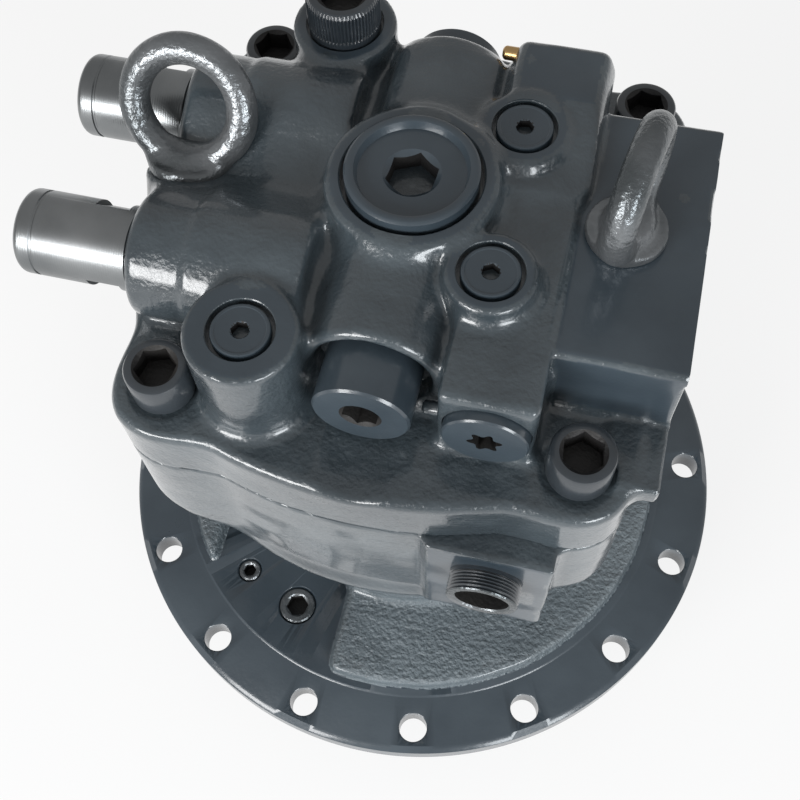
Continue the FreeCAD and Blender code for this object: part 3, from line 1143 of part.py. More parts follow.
# The pieces that turn with the drive shaft.
subpart("drive_shaft", drive_shaft())
subpart("front_bearing_inner_race", tube("bearing_journal + race_thick", "bearing_journal", "bearing_width",
                                         z="bearing_seat_z"))
subpart("cylinder_block", cylinder_block())
subpart("retainer_guide", retainer_guide())
subpart("thrust_pins", thrust_pins())
subpart("friction_plates", friction_plates())
subpart("retainer_plate", retainer_plate())
subpart("front_bearing_rollers", rollers("bearing_journal + race_thick", "bearing_radius - race_thick",
                                         "front_rollers", "bearing_width", "bearing_seat_z"))
subpart("rear_bearing_rollers", rollers("rear_journal", "rear_bearing_radius - rear_race_thick",
                                        "rear_rollers", "rear_bearing_width", "joint_z + rear_bearing_lift"))
for number, angle in enumerate(around(size["pistons"]), start=1):
    subpart("piston_%d" % number, piston(angle))
    subpart("shoe_%d" % number, shoe(angle))

# The pieces that slide.
subpart("brake_piston", brake_piston())
subpart("brake_seals", brake_seals())
subpart("shuttle_spool", shuttle_spool())
for name, side in (("front", -1), ("rear", 1)):
    subpart("relief_poppet_%s" % name, relief_poppet(side))
    subpart("makeup_poppet_%s" % name, makeup_poppet(side))

# The springs, from their feet to the pieces that they press on.
subpart("block_spring", block_spring())
subpart("brake_springs", brake_springs())
for name, side in (("front", -1), ("rear", 1)):
    subpart("relief_spring_%s" % name, relief_spring(side))
    subpart("makeup_spring_%s" % name, makeup_spring(side))

doc.recompute()

# Nothing is written unless every object and every sub-part is sound.
for item in doc.Objects:
    if "Invalid" in item.State or "Error" in item.State:
        raise RuntimeError("%s (%s) failed: %s" % (item.Name, item.Label, item.State))
for item in subparts:
    if item.Shape.isNull() or not item.Shape.isValid():
        raise RuntimeError("%s has no valid shape" % item.Label)
for item in subparts:
    item.Shape.exportStep("parts/%s.step" % item.Label)
    print("%-26s %3d solids  %10.1f mm3" % (item.Label, len(item.Shape.Solids), item.Shape.Volume))
print(len(subparts), "sub-parts")
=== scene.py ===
# %% [markdown]
# # A swing motor in Blender
# This lesson dresses the CAD model of a hydraulic swing motor. The photograph shows painted iron castings full of
# screwed-in plugs, so two crafts meet here: soft, rounded castings, and crisp machined faces cut into them.
# The CAD model is loaded first, as a fixed frame that every new piece has to match.

# %% Load the frame
import bmesh
import bpy
import json
import math
import numpy as np
import openvdb
from mathutils import Matrix, Vector


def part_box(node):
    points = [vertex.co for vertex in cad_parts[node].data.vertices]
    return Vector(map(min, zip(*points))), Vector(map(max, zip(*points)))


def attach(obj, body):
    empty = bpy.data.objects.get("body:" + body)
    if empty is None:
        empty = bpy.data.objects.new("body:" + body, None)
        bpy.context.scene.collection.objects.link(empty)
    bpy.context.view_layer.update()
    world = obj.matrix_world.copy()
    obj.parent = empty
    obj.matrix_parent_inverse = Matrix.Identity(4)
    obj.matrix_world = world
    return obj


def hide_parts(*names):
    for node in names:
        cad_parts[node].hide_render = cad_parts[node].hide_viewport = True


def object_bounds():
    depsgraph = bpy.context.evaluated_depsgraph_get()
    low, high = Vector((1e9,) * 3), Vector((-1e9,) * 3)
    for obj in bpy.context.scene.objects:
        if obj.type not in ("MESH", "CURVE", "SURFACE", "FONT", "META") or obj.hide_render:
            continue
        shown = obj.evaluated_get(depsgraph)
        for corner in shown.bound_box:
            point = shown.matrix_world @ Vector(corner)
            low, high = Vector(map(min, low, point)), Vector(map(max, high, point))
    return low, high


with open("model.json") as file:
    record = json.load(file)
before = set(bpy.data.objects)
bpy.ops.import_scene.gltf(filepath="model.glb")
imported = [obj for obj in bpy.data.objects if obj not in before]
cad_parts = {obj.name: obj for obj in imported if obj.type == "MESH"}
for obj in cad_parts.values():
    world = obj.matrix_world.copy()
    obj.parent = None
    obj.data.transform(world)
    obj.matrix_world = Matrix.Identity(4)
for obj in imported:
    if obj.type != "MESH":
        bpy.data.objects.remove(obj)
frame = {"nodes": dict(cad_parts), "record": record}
cad_box = [list(corner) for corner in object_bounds()]
MM = 0.001
scene_collection = bpy.context.scene.collection

# %% [markdown]
# ## The camera
# The camera stands where the photographer stood: in front of the motor and well above it. Its place and its three
# axes are known in the part's own frame, so a matrix sets them directly, and no object has to be aimed.

# %% Place the camera
CAMERA_AT = Vector((62.3, -242.1, 594.1)) * MM
LOOKING = Vector((-0.127, 0.426, -0.896)).normalized()
ROLL = math.radians(-3.7)
level_right = LOOKING.cross(Vector((0, 0, 1))).normalized()
level_up = level_right.cross(LOOKING)
camera_right = level_right * math.cos(ROLL) + level_up * math.sin(ROLL)
camera_up = level_up * math.cos(ROLL) - level_right * math.sin(ROLL)
camera_data = bpy.data.cameras.new("photo_camera")
camera_data.lens = 50.86
camera_data.sensor_width = 36
camera_data.clip_start = 0.01
camera = bpy.data.objects.new("photo_camera", camera_data)
axes = Matrix((camera_right, camera_up, -LOOKING)).transposed().to_4x4()
camera.matrix_world = Matrix.Translation(CAMERA_AT) @ axes
scene_collection.objects.link(camera)
bpy.context.scene.camera = camera
print("camera at", [round(v, 3) for v in CAMERA_AT])

# %% [markdown]
# ## Shader groups
# An effect that several finishes share is built once, as a node group with named sockets, and each material sets
# its own amounts. The groups put out heights and masks only; the shader itself stays in the material.

# %% Helpers for node groups
def new_group(name, inputs, outputs):
    """An empty shader node group with named sockets."""
    group = bpy.data.node_groups.new(name, "ShaderNodeTree")
    for label, kind, value in inputs:
        socket = group.interface.new_socket(label, in_out="INPUT", socket_type=kind)
        socket.default_value = value
    for label, kind in outputs:
        group.interface.new_socket(label, in_out="OUTPUT", socket_type=kind)
    return group, group.nodes.new("NodeGroupInput"), group.nodes.new("NodeGroupOutput")


def node(tree, kind, operation=None, **inputs):
    """A new node, with an operation and input values."""
    made = tree.nodes.new(kind)
    if operation:
        made.operation = operation
    for name, value in inputs.items():
        made.inputs[name.replace("_", " ")].default_value = value
    return made


def wire(tree, *pairs):
    """Links outputs to inputs, two by two."""
    for source, target in pairs:
        tree.links.new(source, target)


# %% [markdown]
# ## The skin of a casting
# Sand moulds leave a fine grain, and thick glossy paint flows over it in slow waves. One group makes both heights
# from object coordinates, so the grain has the same size on every piece, and a mask of patches for dust and wear.

# %% Build the cast skin
skin, skin_in, skin_out = new_group("cast_skin", [
    ("Grain size", "NodeSocketFloat", 500.0), ("Grain", "NodeSocketFloat", 0.5), ("Waves", "NodeSocketFloat", 0.5)],
    [("Height", "NodeSocketFloat"), ("Patches", "NodeSocketFloat")])
place = skin.nodes.new("ShaderNodeTexCoord")
grain = node(skin, "ShaderNodeTexNoise", Detail=3)
waves = node(skin, "ShaderNodeTexNoise", Scale=140, Detail=2)
patches = node(skin, "ShaderNodeTexNoise", Scale=24, Detail=5)
grain_part = node(skin, "ShaderNodeMath", "MULTIPLY")
wave_part = node(skin, "ShaderNodeMath", "MULTIPLY")
total = node(skin, "ShaderNodeMath", "ADD")
wire(skin,
     (place.outputs["Object"], grain.inputs["Vector"]), (place.outputs["Object"], waves.inputs["Vector"]),
     (place.outputs["Object"], patches.inputs["Vector"]), (skin_in.outputs["Grain size"], grain.inputs["Scale"]),
     (grain.outputs["Fac"], grain_part.inputs[0]), (skin_in.outputs["Grain"], grain_part.inputs[1]),
     (waves.outputs["Fac"], wave_part.inputs[0]), (skin_in.outputs["Waves"], wave_part.inputs[1]),
     (grain_part.outputs[0], total.inputs[0]), (wave_part.outputs[0], total.inputs[1]),
     (total.outputs[0], skin_out.inputs["Height"]), (patches.outputs["Fac"], skin_out.inputs["Patches"]))

# %% [markdown]
# ## Paint
# The whole motor was sprayed in one glossy blue-grey after assembly, screws included. A clear coat gives the wet
# shine over a slightly rougher base, and the patches let the shade drift a little, as dust and thin spray do.

# %% Mix the paints
def paint(name, dark, light, grain_size, grain_height, wave_height, roughness, coat):
    """Sprayed paint over a cast or turned skin, between two shades."""
    material = bpy.data.materials.new(name)
    material.use_nodes = True
    tree = material.node_tree
    shader = tree.nodes["Principled BSDF"]
    group = tree.nodes.new("ShaderNodeGroup")
    group.node_tree = skin
    group.inputs["Grain size"].default_value = grain_size
    group.inputs["Grain"].default_value = grain_height
    group.inputs["Waves"].default_value = wave_height
    shade = tree.nodes.new("ShaderNodeValToRGB")
    shade.color_ramp.elements[0].position = 0.36
    shade.color_ramp.elements[0].color = (*dark, 1)
    shade.color_ramp.elements[1].position = 0.66
    shade.color_ramp.elements[1].color = (*light, 1)
    bump = node(tree, "ShaderNodeBump", Distance=0.0006, Strength=1.0)
    gloss = tree.nodes.new("ShaderNodeMapRange")
    gloss.inputs["To Min"].default_value = roughness - 0.05
    gloss.inputs["To Max"].default_value = roughness + 0.10
    wire(tree, (group.outputs["Patches"], shade.inputs["Fac"]), (group.outputs["Patches"], gloss.inputs["Value"]),
         (shade.outputs["Color"], shader.inputs["Base Color"]), (gloss.outputs["Result"], shader.inputs["Roughness"]),
         (group.outputs["Height"], bump.inputs["Height"]), (bump.outputs["Normal"], shader.inputs["Normal"]))
    shader.inputs["Coat Weight"].default_value = coat
    shader.inputs["Coat Roughness"].default_value = 0.12
    return material


CAST_PAINT = paint("cast_paint", (0.032, 0.043, 0.051), (0.060, 0.077, 0.088), 620, 0.6, 1.4, 0.27, 0.9)
# The rough cast step has the same paint as the rest. Its grain and roughness are real, but its much lighter shades are
# a painted sheen for the light that the rough grain catches.
ROUGH_PAINT_WITH_SHEEN = paint("rough_cast_paint_painted_sheen", (0.085, 0.105, 0.118), (0.150, 0.180, 0.198), 420, 3.2, 1.4, 0.34, 0.9)
SMOOTH_PAINT = paint("smooth_paint", (0.031, 0.044, 0.056), (0.046, 0.062, 0.076), 700, 0.08, 0.22, 0.28, 0.5)
SCREW_PAINT = paint("screw_paint", (0.020, 0.026, 0.032), (0.040, 0.048, 0.056), 900, 0.12, 0.30, 0.28, 0.6)
print("paints mixed:", [m.name for m in (CAST_PAINT, ROUGH_PAINT_WITH_SHEEN, SMOOTH_PAINT, SCREW_PAINT)])

# %% [markdown]
# ## Bare metals, rubber and brake lining
# Inside the motor, and on the relief valves' sleeves, the metal is bare. These finishes differ in colour, in how
# rough they are and in how coarse their grain is, so one recipe makes them all.

# %% Mix the metals
def metal(name, dark, light, metallic, roughness, grain_size, grain_height):
    """A bare finish between two shades, with a fine grain."""
    material = paint(name, dark, light, grain_size, grain_height, 0.0, roughness, 0.0)
    material.node_tree.nodes["Principled BSDF"].inputs["Metallic"].default_value = metallic
    return material


FINISHES = {
    "blue_grey_paint": SMOOTH_PAINT,
    "machined_steel": metal("machined_steel", (0.33, 0.34, 0.34), (0.45, 0.45, 0.45), 1.0, 0.30, 900, 0.10),
    "hardened_steel": metal("hardened_steel", (0.50, 0.50, 0.51), (0.62, 0.62, 0.63), 1.0, 0.16, 1200, 0.03),
    "spring_steel": metal("spring_steel", (0.16, 0.16, 0.17), (0.26, 0.26, 0.27), 1.0, 0.35, 900, 0.10),
    "bronze": metal("bronze", (0.50, 0.31, 0.13), (0.62, 0.42, 0.20), 1.0, 0.30, 800, 0.10),
    "cast_iron": metal("cast_iron", (0.13, 0.13, 0.13), (0.20, 0.20, 0.20), 0.8, 0.50, 500, 0.50),
    "rubber": metal("rubber", (0.012, 0.012, 0.012), (0.022, 0.022, 0.022), 0.0, 0.60, 900, 0.15),
    "friction_lining": metal("friction_lining", (0.10, 0.075, 0.05), (0.16, 0.12, 0.08), 0.0, 0.85, 420, 0.80),
}
FORGED = metal("forged_steel", (0.09, 0.10, 0.105), (0.23, 0.24, 0.25), 0.7, 0.26, 420, 0.9)
# Painted shade: a near-black finish for the walls and floors of sockets and for the drain's bore. It is darker than
# their bare steel, so that these hollows look dark.
SOCKET_PAINTED_SHADE = metal("socket_painted_shade", (0.006, 0.006, 0.007), (0.020, 0.018, 0.016), 0.0, 0.55, 700, 0.5)
print("finishes:", sorted(FINISHES))

# %% Put the finishes on the CAD nodes
for row in frame["record"]["subparts"]:
    materials = frame["nodes"][row["node"]].data.materials
    materials.clear()
    materials.append(FINISHES[row["material_slot"]])

# %% [markdown]
# ## A clay for castings
# A casting has no sharp inner corners: the sand mould rounds them all. Bevels on a mesh that comes out of Boolean
# unions break down where three rounded forms meet. A distance field doesn't: every point of a grid holds its distance
# to the form, two forms melt together with one formula, and the surface is drawn where the distance is zero.

# %% Helpers for distance fields
def grid(low, high, step):
    """Coordinates of a grid in millimetres, as three arrays that combine on their own."""
    counts = [int(round((h - l) / step)) + 1 for l, h in zip(low, high)]
    lines = [l + step * np.arange(n, dtype=np.float32) for l, n in zip(low, counts)]
    return np.meshgrid(*lines, indexing="ij", sparse=True)


def joined(a, b, radius):
    """Two forms as one, with a cast fillet of a radius between them."""
    if radius <= 0:
        return np.minimum(a, b)
    return np.maximum(radius, np.minimum(a, b)) - np.hypot(np.maximum(radius - a, 0), np.maximum(radius - b, 0))


def within(a, b, radius):
    """What two forms share, with its new edge rounded."""
    if radius <= 0:
        return np.maximum(a, b)
    return np.minimum(-radius, np.maximum(a, b)) + np.hypot(np.maximum(radius + a, 0), np.maximum(radius + b, 0))


def bounded(side, end, edge):
    """A form bounded sideways by one distance and lengthwise by another, with a rounded edge."""
    side, end = side + edge, end + edge
    return np.minimum(np.maximum(side, end), 0) + np.hypot(np.maximum(side, 0), np.maximum(end, 0)) - edge


def block(space, low, high, edge):
    """A box between two corners, with rounded edges."""
    parts = [np.abs(line - (l + h) / 2) - (h - l) / 2 + edge for line, l, h in zip(space, low, high)]
    outside = np.sqrt(sum(np.maximum(part, 0) ** 2 for part in parts))
    inside = np.minimum(np.maximum(np.maximum(parts[0], parts[1]), parts[2]), 0)
    return outside + inside - edge


def rod(space, foot, direction, length, radius, edge):
    """A round bar from its foot along a direction, with rounded ends."""
    aim = np.array(direction, dtype=np.float32) / np.linalg.norm(direction)
    offsets = [line - start for line, start in zip(space, foot)]
    along = sum(offset * part for offset, part in zip(offsets, aim))
    away = np.sqrt(np.maximum(sum(offset ** 2 for offset in offsets) - along ** 2, 0))
    return bounded(away - radius, np.abs(along - length / 2) - length / 2, edge)


def slab(outline, height, low, high, edge):
    """A flat outline, given as its own distance, raised between two heights."""
    return bounded(outline, np.abs(height - (low + high) / 2) - (high - low) / 2, edge)


def unevenness(space, wavelength, height, seed):
    """A smooth random unevenness over a grid, as a sand mould leaves it."""
    spans = []
    for line in space:
        values = (line.ravel() - line.min()) / wavelength
        cell = values.astype(int)
        part = values - cell
        part = part * part * (3 - 2 * part)
        span = np.zeros((len(values), cell.max() + 2), dtype=np.float32)
        span[np.arange(len(values)), cell] = 1 - part
        span[np.arange(len(values)), cell + 1] = part
        spans.append(span)
    lattice = np.random.default_rng(seed).uniform(-height, height, [span.shape[1] for span in spans])
    return np.einsum("ia,jb,kc,abc->ijk", *spans, lattice.astype(np.float32), optimize=True)


# %% [markdown]
# ## From field to mesh, and from mesh to machined part
# OpenVDB turns a field into clean quads. Drilled holes and milled faces come afterwards, as on the real part: each
# is a cutter that a Boolean takes away, so their edges stay as crisp as a tool leaves them.

# %% Helpers for meshes
def mesh_object(name, points, faces):
    """A new object from points in millimetres."""
    mesh = bpy.data.meshes.new(name)
    mesh.from_pydata((np.asarray(points, dtype=float) * MM).tolist(), [], [list(map(int, face)) for face in faces])
    mesh.validate()
    thing = bpy.data.objects.new(name, mesh)
    scene_collection.objects.link(thing)
    return thing


def cast(name, field, low, step):
    """The surface of a distance field, as an object."""
    volume = openvdb.FloatGrid(1.0)
    volume.copyFromArray(np.ascontiguousarray(np.clip(field, -3 * step, 3 * step), dtype=np.float32))
    points, quads = volume.convertToQuads(0.0)
    thing = mesh_object(name, points * step + np.array(low), quads[:, ::-1])
    print(name, "has", len(points), "points")
    return thing


def turned(name, profile, steps=96, flutes=0):
    """A closed turned shape: points (radius, height) from the axis at the bottom to the axis at the top.
    A third number in a point is the depth of the flutes there, whose count is flutes."""
    points, faces, rings = [], [], []
    for radius, height, *depth in profile:
        count = 1 if radius < 1e-6 else steps
        rings.append(list(range(len(points), len(points) + count)))
        for k in range(count):
            angle = 2 * math.pi * k / steps
            wide = radius - (depth[0] if depth else 0) * (0.5 - 0.5 * math.cos(flutes * angle))
            points.append((wide * math.cos(angle), wide * math.sin(angle), height))
    for lower, upper in zip(rings, rings[1:]):
        for k in range(steps):
            corners = [lower[k % len(lower)], lower[(k + 1) % len(lower)],
                       upper[(k + 1) % len(upper)], upper[k % len(upper)]]
            faces.append(list(dict.fromkeys(corners)))
    return mesh_object(name, points, faces)


def prism(outline, low, high):
    """A closed upright shape over a flat outline of (x, y) corners."""
    count = len(outline)
    points = [(x, y, low) for x, y in outline] + [(x, y, high) for x, y in outline]
    faces = [list(range(count))[::-1], list(range(count, 2 * count))]
    faces += [[k, (k + 1) % count, count + (k + 1) % count, count + k] for k in range(count)]
    return mesh_object("prism", points, faces)


def put(thing, place, direction=(0, 0, 1), spin=0.0):
    """Moves a thing's mesh to a place in millimetres, with its own Z along a direction."""
    turn = Vector((0, 0, 1)).rotation_difference(Vector(direction).normalized()).to_matrix().to_4x4()
    thing.data.transform(Matrix.Translation(Vector(place) * MM) @ turn @ Matrix.Rotation(spin, 4, "Z"))
    return thing


def drill(place, direction, depth, radius, lip=0.0, steps=64):
    """A round cutter that starts 5 mm outside a face; lip is the chamfer that it leaves on the hole's edge."""
    profile = [(0, -depth), (radius, -depth)]
    if lip:
        profile += [(radius, -lip), (radius + lip, 0), (radius + lip, 5)]
    else:
        profile += [(radius, 5)]
    return put(turned("drill", profile + [(0, 5)], steps), place, direction)


def hex_socket(place, direction, depth, flats, lip=0.6, spin=0.0):
    """The cutters of a hexagon socket with a turned lead-in; flats is its size across flats."""
    corner = flats / math.sqrt(3)
    outline = [(corner * math.cos(math.pi * k / 3), corner * math.sin(math.pi * k / 3)) for k in range(6)]
    lead = turned("lead", [(0, -corner * 0.9), (corner + lip, 0), (corner + lip, 5), (0, 5)], 48)
    return [put(prism(outline, -depth, 5), place, direction, spin), put(lead, place, direction)]


def combine(thing, tools, operation="DIFFERENCE"):
    """Cuts tools out of a thing, or joins them to it, and deletes them."""
    for tool in tools:
        modifier = thing.modifiers.new("machining", "BOOLEAN")
        modifier.operation = operation
        modifier.solver = "MANIFOLD"
        modifier.object = tool
    bpy.context.view_layer.update()
    shaped = bpy.data.meshes.new_from_object(thing.evaluated_get(bpy.context.evaluated_depsgraph_get()))
    thing.modifiers.clear()
    thing.data = shaped
    for tool in tools:
        bpy.data.objects.remove(tool)
    return thing


def merged(name, pieces):
    """Several objects as one."""
    points, faces = [], []
    for piece in pieces:
        start = len(points)
        points += [tuple(corner.co / MM) for corner in piece.data.vertices]
        faces += [[start + index for index in polygon.vertices] for polygon in piece.data.polygons]
        bpy.data.objects.remove(piece)
    return mesh_object(name, points, faces)


def dress(thing, replaced, material, sharp=30, body="housing"):
    """Gives a thing its material and smooth shading, and lets it stand for a CAD node."""
    thing.data.materials.clear()
    thing.data.materials.append(material)
    thing.data.shade_smooth()
    thing.data.set_sharp_from_angle(angle=math.radians(sharp))
    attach(thing, body)
    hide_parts(replaced)
    print(thing.name, "stands for", replaced)
    return thing


def repainted(thing, material, chosen):
    """Gives some faces a second material: chosen gets their centres and normals as (x, y, z) arrays in millimetres."""
    mesh = thing.data
    mesh.materials.append(material)
    values = {}
    for label in ("center", "normal"):
        values[label] = np.empty(len(mesh.polygons) * 3)
        mesh.polygons.foreach_get(label, values[label])
    slots = np.empty(len(mesh.polygons), dtype=np.int32)
    mesh.polygons.foreach_get("material_index", slots)
    picked = chosen(values["center"].reshape(-1, 3).T / MM, values["normal"].reshape(-1, 3).T)
    slots[picked] = len(mesh.materials) - 1
    mesh.polygons.foreach_set("material_index", slots)
    print(thing.name, "has", int(picked.sum()), "faces in", material.name)


def milled(planes, reach=0.2):
    """Chooses the faces that lie on milled planes. A plane is an axis, a level, and two corners around it."""
    def chosen(centre, normal):
        picked = np.zeros(centre.shape[1], dtype=bool)
        for axis, level, low, high in planes:
            flat = (np.abs(centre[axis] - level) < reach) & (np.abs(normal[axis]) > 0.97)
            picked |= flat & np.all([(c > l) & (c < h) for c, l, h in zip(centre, low, high)], axis=0)
        return picked
    return chosen


def sunk(places, direction, radius, depth=10):
    """Chooses the faces below each place, inside a radius round a direction: the walls and floor of a socket."""
    aim = np.array(Vector(direction).normalized())

    def chosen(centre, normal):
        picked = np.zeros(centre.shape[1], dtype=bool)
        for place in places:
            offset = centre - np.array(place)[:, None]
            along = aim @ offset
            away = np.linalg.norm(offset - aim[:, None] * along, axis=0)
            picked |= (along < -0.15) & (along > -depth) & (away < radius)
        return picked
    return chosen


# %% [markdown]
# ## Sizes that the whole motor shares
# Heights count from the flange's underside, in millimetres. Most are read from the boxes of the CAD nodes, so the
# dressed pieces follow the frame.

# %% Shared sizes
def corners(name):
    """A node's lowest and highest corner, in millimetres."""
    low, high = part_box(name)
    return Vector(low) / MM, Vector(high) / MM


JOINT = corners("valve_casing")[0].z
LEDGE = JOINT + 27.0
EARS = [(x, y) for x in (-78.0, 78.0) for y in (-78.0, 78.0)]
CAST_STEP = 1.0
print("joint at", round(JOINT, 2), "ledge at", round(LEDGE, 2))


def head_outline(x, y):
    """Distance to the square head's outline: four bulging sides and an ear round each main bolt."""
    sides = [np.hypot(x, y - 68), np.hypot(x, y + 68), np.hypot(x - 68, y), np.hypot(x + 68, y)]
    shape = np.maximum(np.maximum(sides[0], sides[1]), np.maximum(sides[2], sides[3])) - 175
    for ear_x, ear_y in EARS:
        shape = joined(shape, np.hypot(x - ear_x, y - ear_y) - 20, 14)
    return shape


# %% [markdown]
# ## The valve casing
# This is the upper casting: a foot with four ears, a port block, a bar for the anti-cavitation valve, two towers, a
# dome round the centre plug, and lobes that hold the relief valves. All of it was one wooden pattern once, so all of
# it melts together here.

# %% Model the valve casing's cast form
low, high = (-112, -112, 185), (112, 112, 276)
space = grid(low, high, CAST_STEP)
x, y, z = space
form = slab(head_outline(x, y), z, 180, LEDGE, 4)
body = block(space, (-62, -58, 190), (64, 58, 250), 9)
lobes = []
for side in (-1, 1):
    neck = rod(space, (-95, side * 34, 241), (1, 0, 0), 65, 24.2, 4)
    lobes.append(joined(neck, rod(space, (-73, side * 34, 241), (1, 0, 0), 44, 25.3, 3), 2))
saddle = block(space, (-94, -34, 190), (0, 34, 251), 8)
body = joined(body, joined(joined(*lobes, 10), saddle, 12), 10)
boss = rod(space, (0, -66, 240), (0, 1, 0), 138, 26, 3.5)
boss = joined(boss, block(space, (-26, -66, 190), (26, 72, 240), 3.5), 0)
boss = joined(boss, block(space, (-19, 20, 225), (22, 68, 264), 6), 5)
body = joined(body, boss, 7)
body = joined(body, rod(space, (0, 0, 200), (0, 0, 1), 70, 32, 3), 7)
body = joined(body, rod(space, (35, -32, 200), (0, 0, 1), 67, 16.8, 2.5), 4)
bar = block(space, (26, -62, 190), (61, 75, 259), 3)
bar = joined(bar, block(space, (26, -79, LEDGE + 0.5), (61, -40, 259), 3), 0)
ramp = np.maximum(block(space, (26, 12, 190), (61, 75, 267), 4), (z - 259 - (y - 12) * 0.22) * 0.97)
bar = joined(bar, joined(ramp, rod(space, (35, 32, 200), (0, 0, 1), 67, 17.5, 3), 3), 9)
body = joined(body, bar, 5)
port_block = np.maximum(block(space, (60, -54, 180), (112, 54, 257), 2.4), x - 107)
port_block = joined(port_block, block(space, (87, -81, 211), (107, 81, LEDGE), 1.2), 1)
body = joined(body, port_block, 1.5)
for side in (-1, 1):
    body = joined(body, rod(space, (-43.5, side * 71, 200), (0, 0, 1), 64, 20.5, 2), 6)
lean = math.radians(30)
eye_up = np.array((0, math.sin(lean), math.cos(lean)))
eye_seat = np.array((-88.5, 1, 247))
body = joined(body, rod(space, tuple(eye_seat - 40 * eye_up), tuple(eye_up), 40, 16, 1.5), 4)
form = joined(form, body, 5)
form = form + unevenness(space, 11, 0.25, 4)
for recess in (y + 58, 64 - y):
    form = within(form, -np.maximum(np.hypot(x, z - 240) - 21.4, recess), 2.2)
form = np.maximum(form, JOINT - z)
for ear_x, ear_y in EARS:
    room = np.maximum(np.hypot(x - ear_x, y - ear_y) - 13.2, LEDGE - 0.7 - z)
    form = within(form, -room, 1.0)
upper = cast("valve_casing_cast", form, low, CAST_STEP)

# %% Drill and mill the valve casing
cutters = [drill((ear_x, ear_y, LEDGE), (0, 0, 1), 40, 8.8) for ear_x, ear_y in EARS]
cutters.append(drill((0, 0, JOINT), (0, 0, -1), 22, 26.05))
cutters.append(drill((0, 0, 270), (0, 0, 1), 7, 26.0, 0.5))
cutters.append(drill((-43.5, -71, 264), (0, 0, 1), 4, 12.2, 0.3))
cutters.append(drill((-43.5, 71, 264), (0, 0, 1), 3, 15.2, 0.3))
cutters.append(drill((-43.5, 71, 261), (0, 0, 1), 27, 9.55))
for side in (-1, 1):
    cutters.append(drill((35, side * 32, 267), (0, 0, 1), 4, 12.2, 0.3))
    cutters.append(drill((44, -79 if side < 0 else 75, 239), (0, side, 0), 4, 15.9, 0.3))
    cutters.append(drill((107, side * 27, 225), (1, 0, 0), 66, 9.5, 0.8))
    cutters.append(drill((-95, side * 34, 241), (-1, 0, 0), 38, 13.05))
    cutters.append(drill((-98, side * 34, 241), (-1, 0, 0), 3, 17.8))
    for across in (-11.1, 11.1):
        for rise in (-23.8, 23.8):
            cutters.append(drill((107, side * 27 + across, 225 + rise), (1, 0, 0), 22, 4.25, 0.6, 32))
combine(upper, cutters)
dress(upper, "valve_casing", CAST_PAINT)
repainted(upper, SMOOTH_PAINT, milled([
    (2, 257, (60, -60, 250), (110, 60, 260)), (0, 107, (100, -90, 190), (110, 90, 260)),
    (1, -54, (60, -60, 224), (110, -50, 260)), (2, 267, (20, -60, 260), (64, 80, 270)),
    (2, 270, (-34, -34, 260), (34, 34, 272)), (2, 264, (-70, -95, 260), (-20, 95, 266))]))

# %% [markdown]
# ## The casing
# The lower casting carries the flange, a rough cast step on it, a narrow body that hides under the square head, and
# the drain pad. A pocket is milled through the step, down to the smooth land, for two plugs that look straight up.
# The casing's inside is the CAD casing's own, taken over by a Boolean: a core of the inner space, less the CAD
# casing, is the exact hollow.

# %% Model the casing's cast form
DRUM_STEP = 1.25
LAND = 15.2
STEP_TOP = 21.0
low, high = (-136, -136, 8), (136, 136, 198)
space = grid(low, high, DRUM_STEP)
x, y, z = space
away = np.hypot(x, y)
slope = math.atan2(105.5 - 80, 100)
body = (away - 80 - (z - 14) * math.tan(slope)) * math.cos(slope)
body = bounded(body, np.abs(z - 62) - 62, 2)
flare = math.atan2(136 - 105.5, 148 - 114)
under = (away - 105.5) * math.cos(flare) - (z - 114) * math.sin(flare)
head = within(slab(head_outline(x, y), z, 108, JOINT + 20, 3), under, 7)
form = joined(body, head, 9)
form = joined(form, block(space, (28, -109, 125), (77, -60, JOINT + 20), 1.5), 5)
step = bounded(away - 126, np.abs(z - STEP_TOP + 8) - 8, 2.5)
pocket = np.maximum(np.abs(x + 57) - 37, y)
step = within(step, -pocket, 4.5)
form = joined(form, step, 6)
form = joined(form, np.maximum(away - 128, z - LAND + 0.6), 3)
form = form + unevenness(space, 12, 0.3, 7)
form = np.maximum(form, z - JOINT)
form = np.maximum(form, 12 - z)
casting = cast("casing_cast", form, low, DRUM_STEP)

# %% Turn the flange, and hollow the casing
flange = turned("flange", [(0, -6), (117, -6), (118, -5), (118, 0), (157.4, 0), (158, 0.6), (158, 11), (155, 14),
                           (131.4, 14), (130.9, 14.3), (130.1, LAND), (0, LAND)], 256)
holes = []
for k in range(16):
    angle = 2 * math.pi * (k + 0.5) / 16
    holes.append(drill((145.8 * math.cos(angle), 145.8 * math.sin(angle), 14), (0, 0, 1), 20, 7, 0.5, 48))
combine(flange, holes)
combine(casting, [flange], "UNION")
core = turned("core", [(0, -12), (70, -12), (70, 14), (76, 14), (76, 100), (92, 130), (92, 205), (0, 205)], 128)
solid = frame["nodes"]["casing"].copy()
solid.data = solid.data.copy()
solid.parent = None
scene_collection.objects.link(solid)
weld = bmesh.new()
weld.from_mesh(solid.data)
bmesh.ops.remove_doubles(weld, verts=weld.verts, dist=1e-6)
weld.to_mesh(solid.data)
weld.free()
combine(core, [solid])
print("the core has", len(core.data.polygons), "faces")
PORTS = [((-74.8, -82.8, LAND), 5.6, 6, 2.5), ((-44.8, -95.7, LAND), 9.2, 10, 4.5)]
cutters = [core]
for port, radius, flats, way in PORTS:
    cutters.append(drill(port, (0, 0, 1), 12, radius + 0.4, 0.8))
    cutters.append(drill(port, (0, 0, 1), 30, way, 0, 32))
cutters.append(drill((52.5, -109, 172), (0, -1, 0), 16, 13.3, 0.4))
cutters += [drill((ear_x, ear_y, JOINT), (0, 0, 1), 51, 8.05) for ear_x, ear_y in EARS]
combine(casting, cutters)
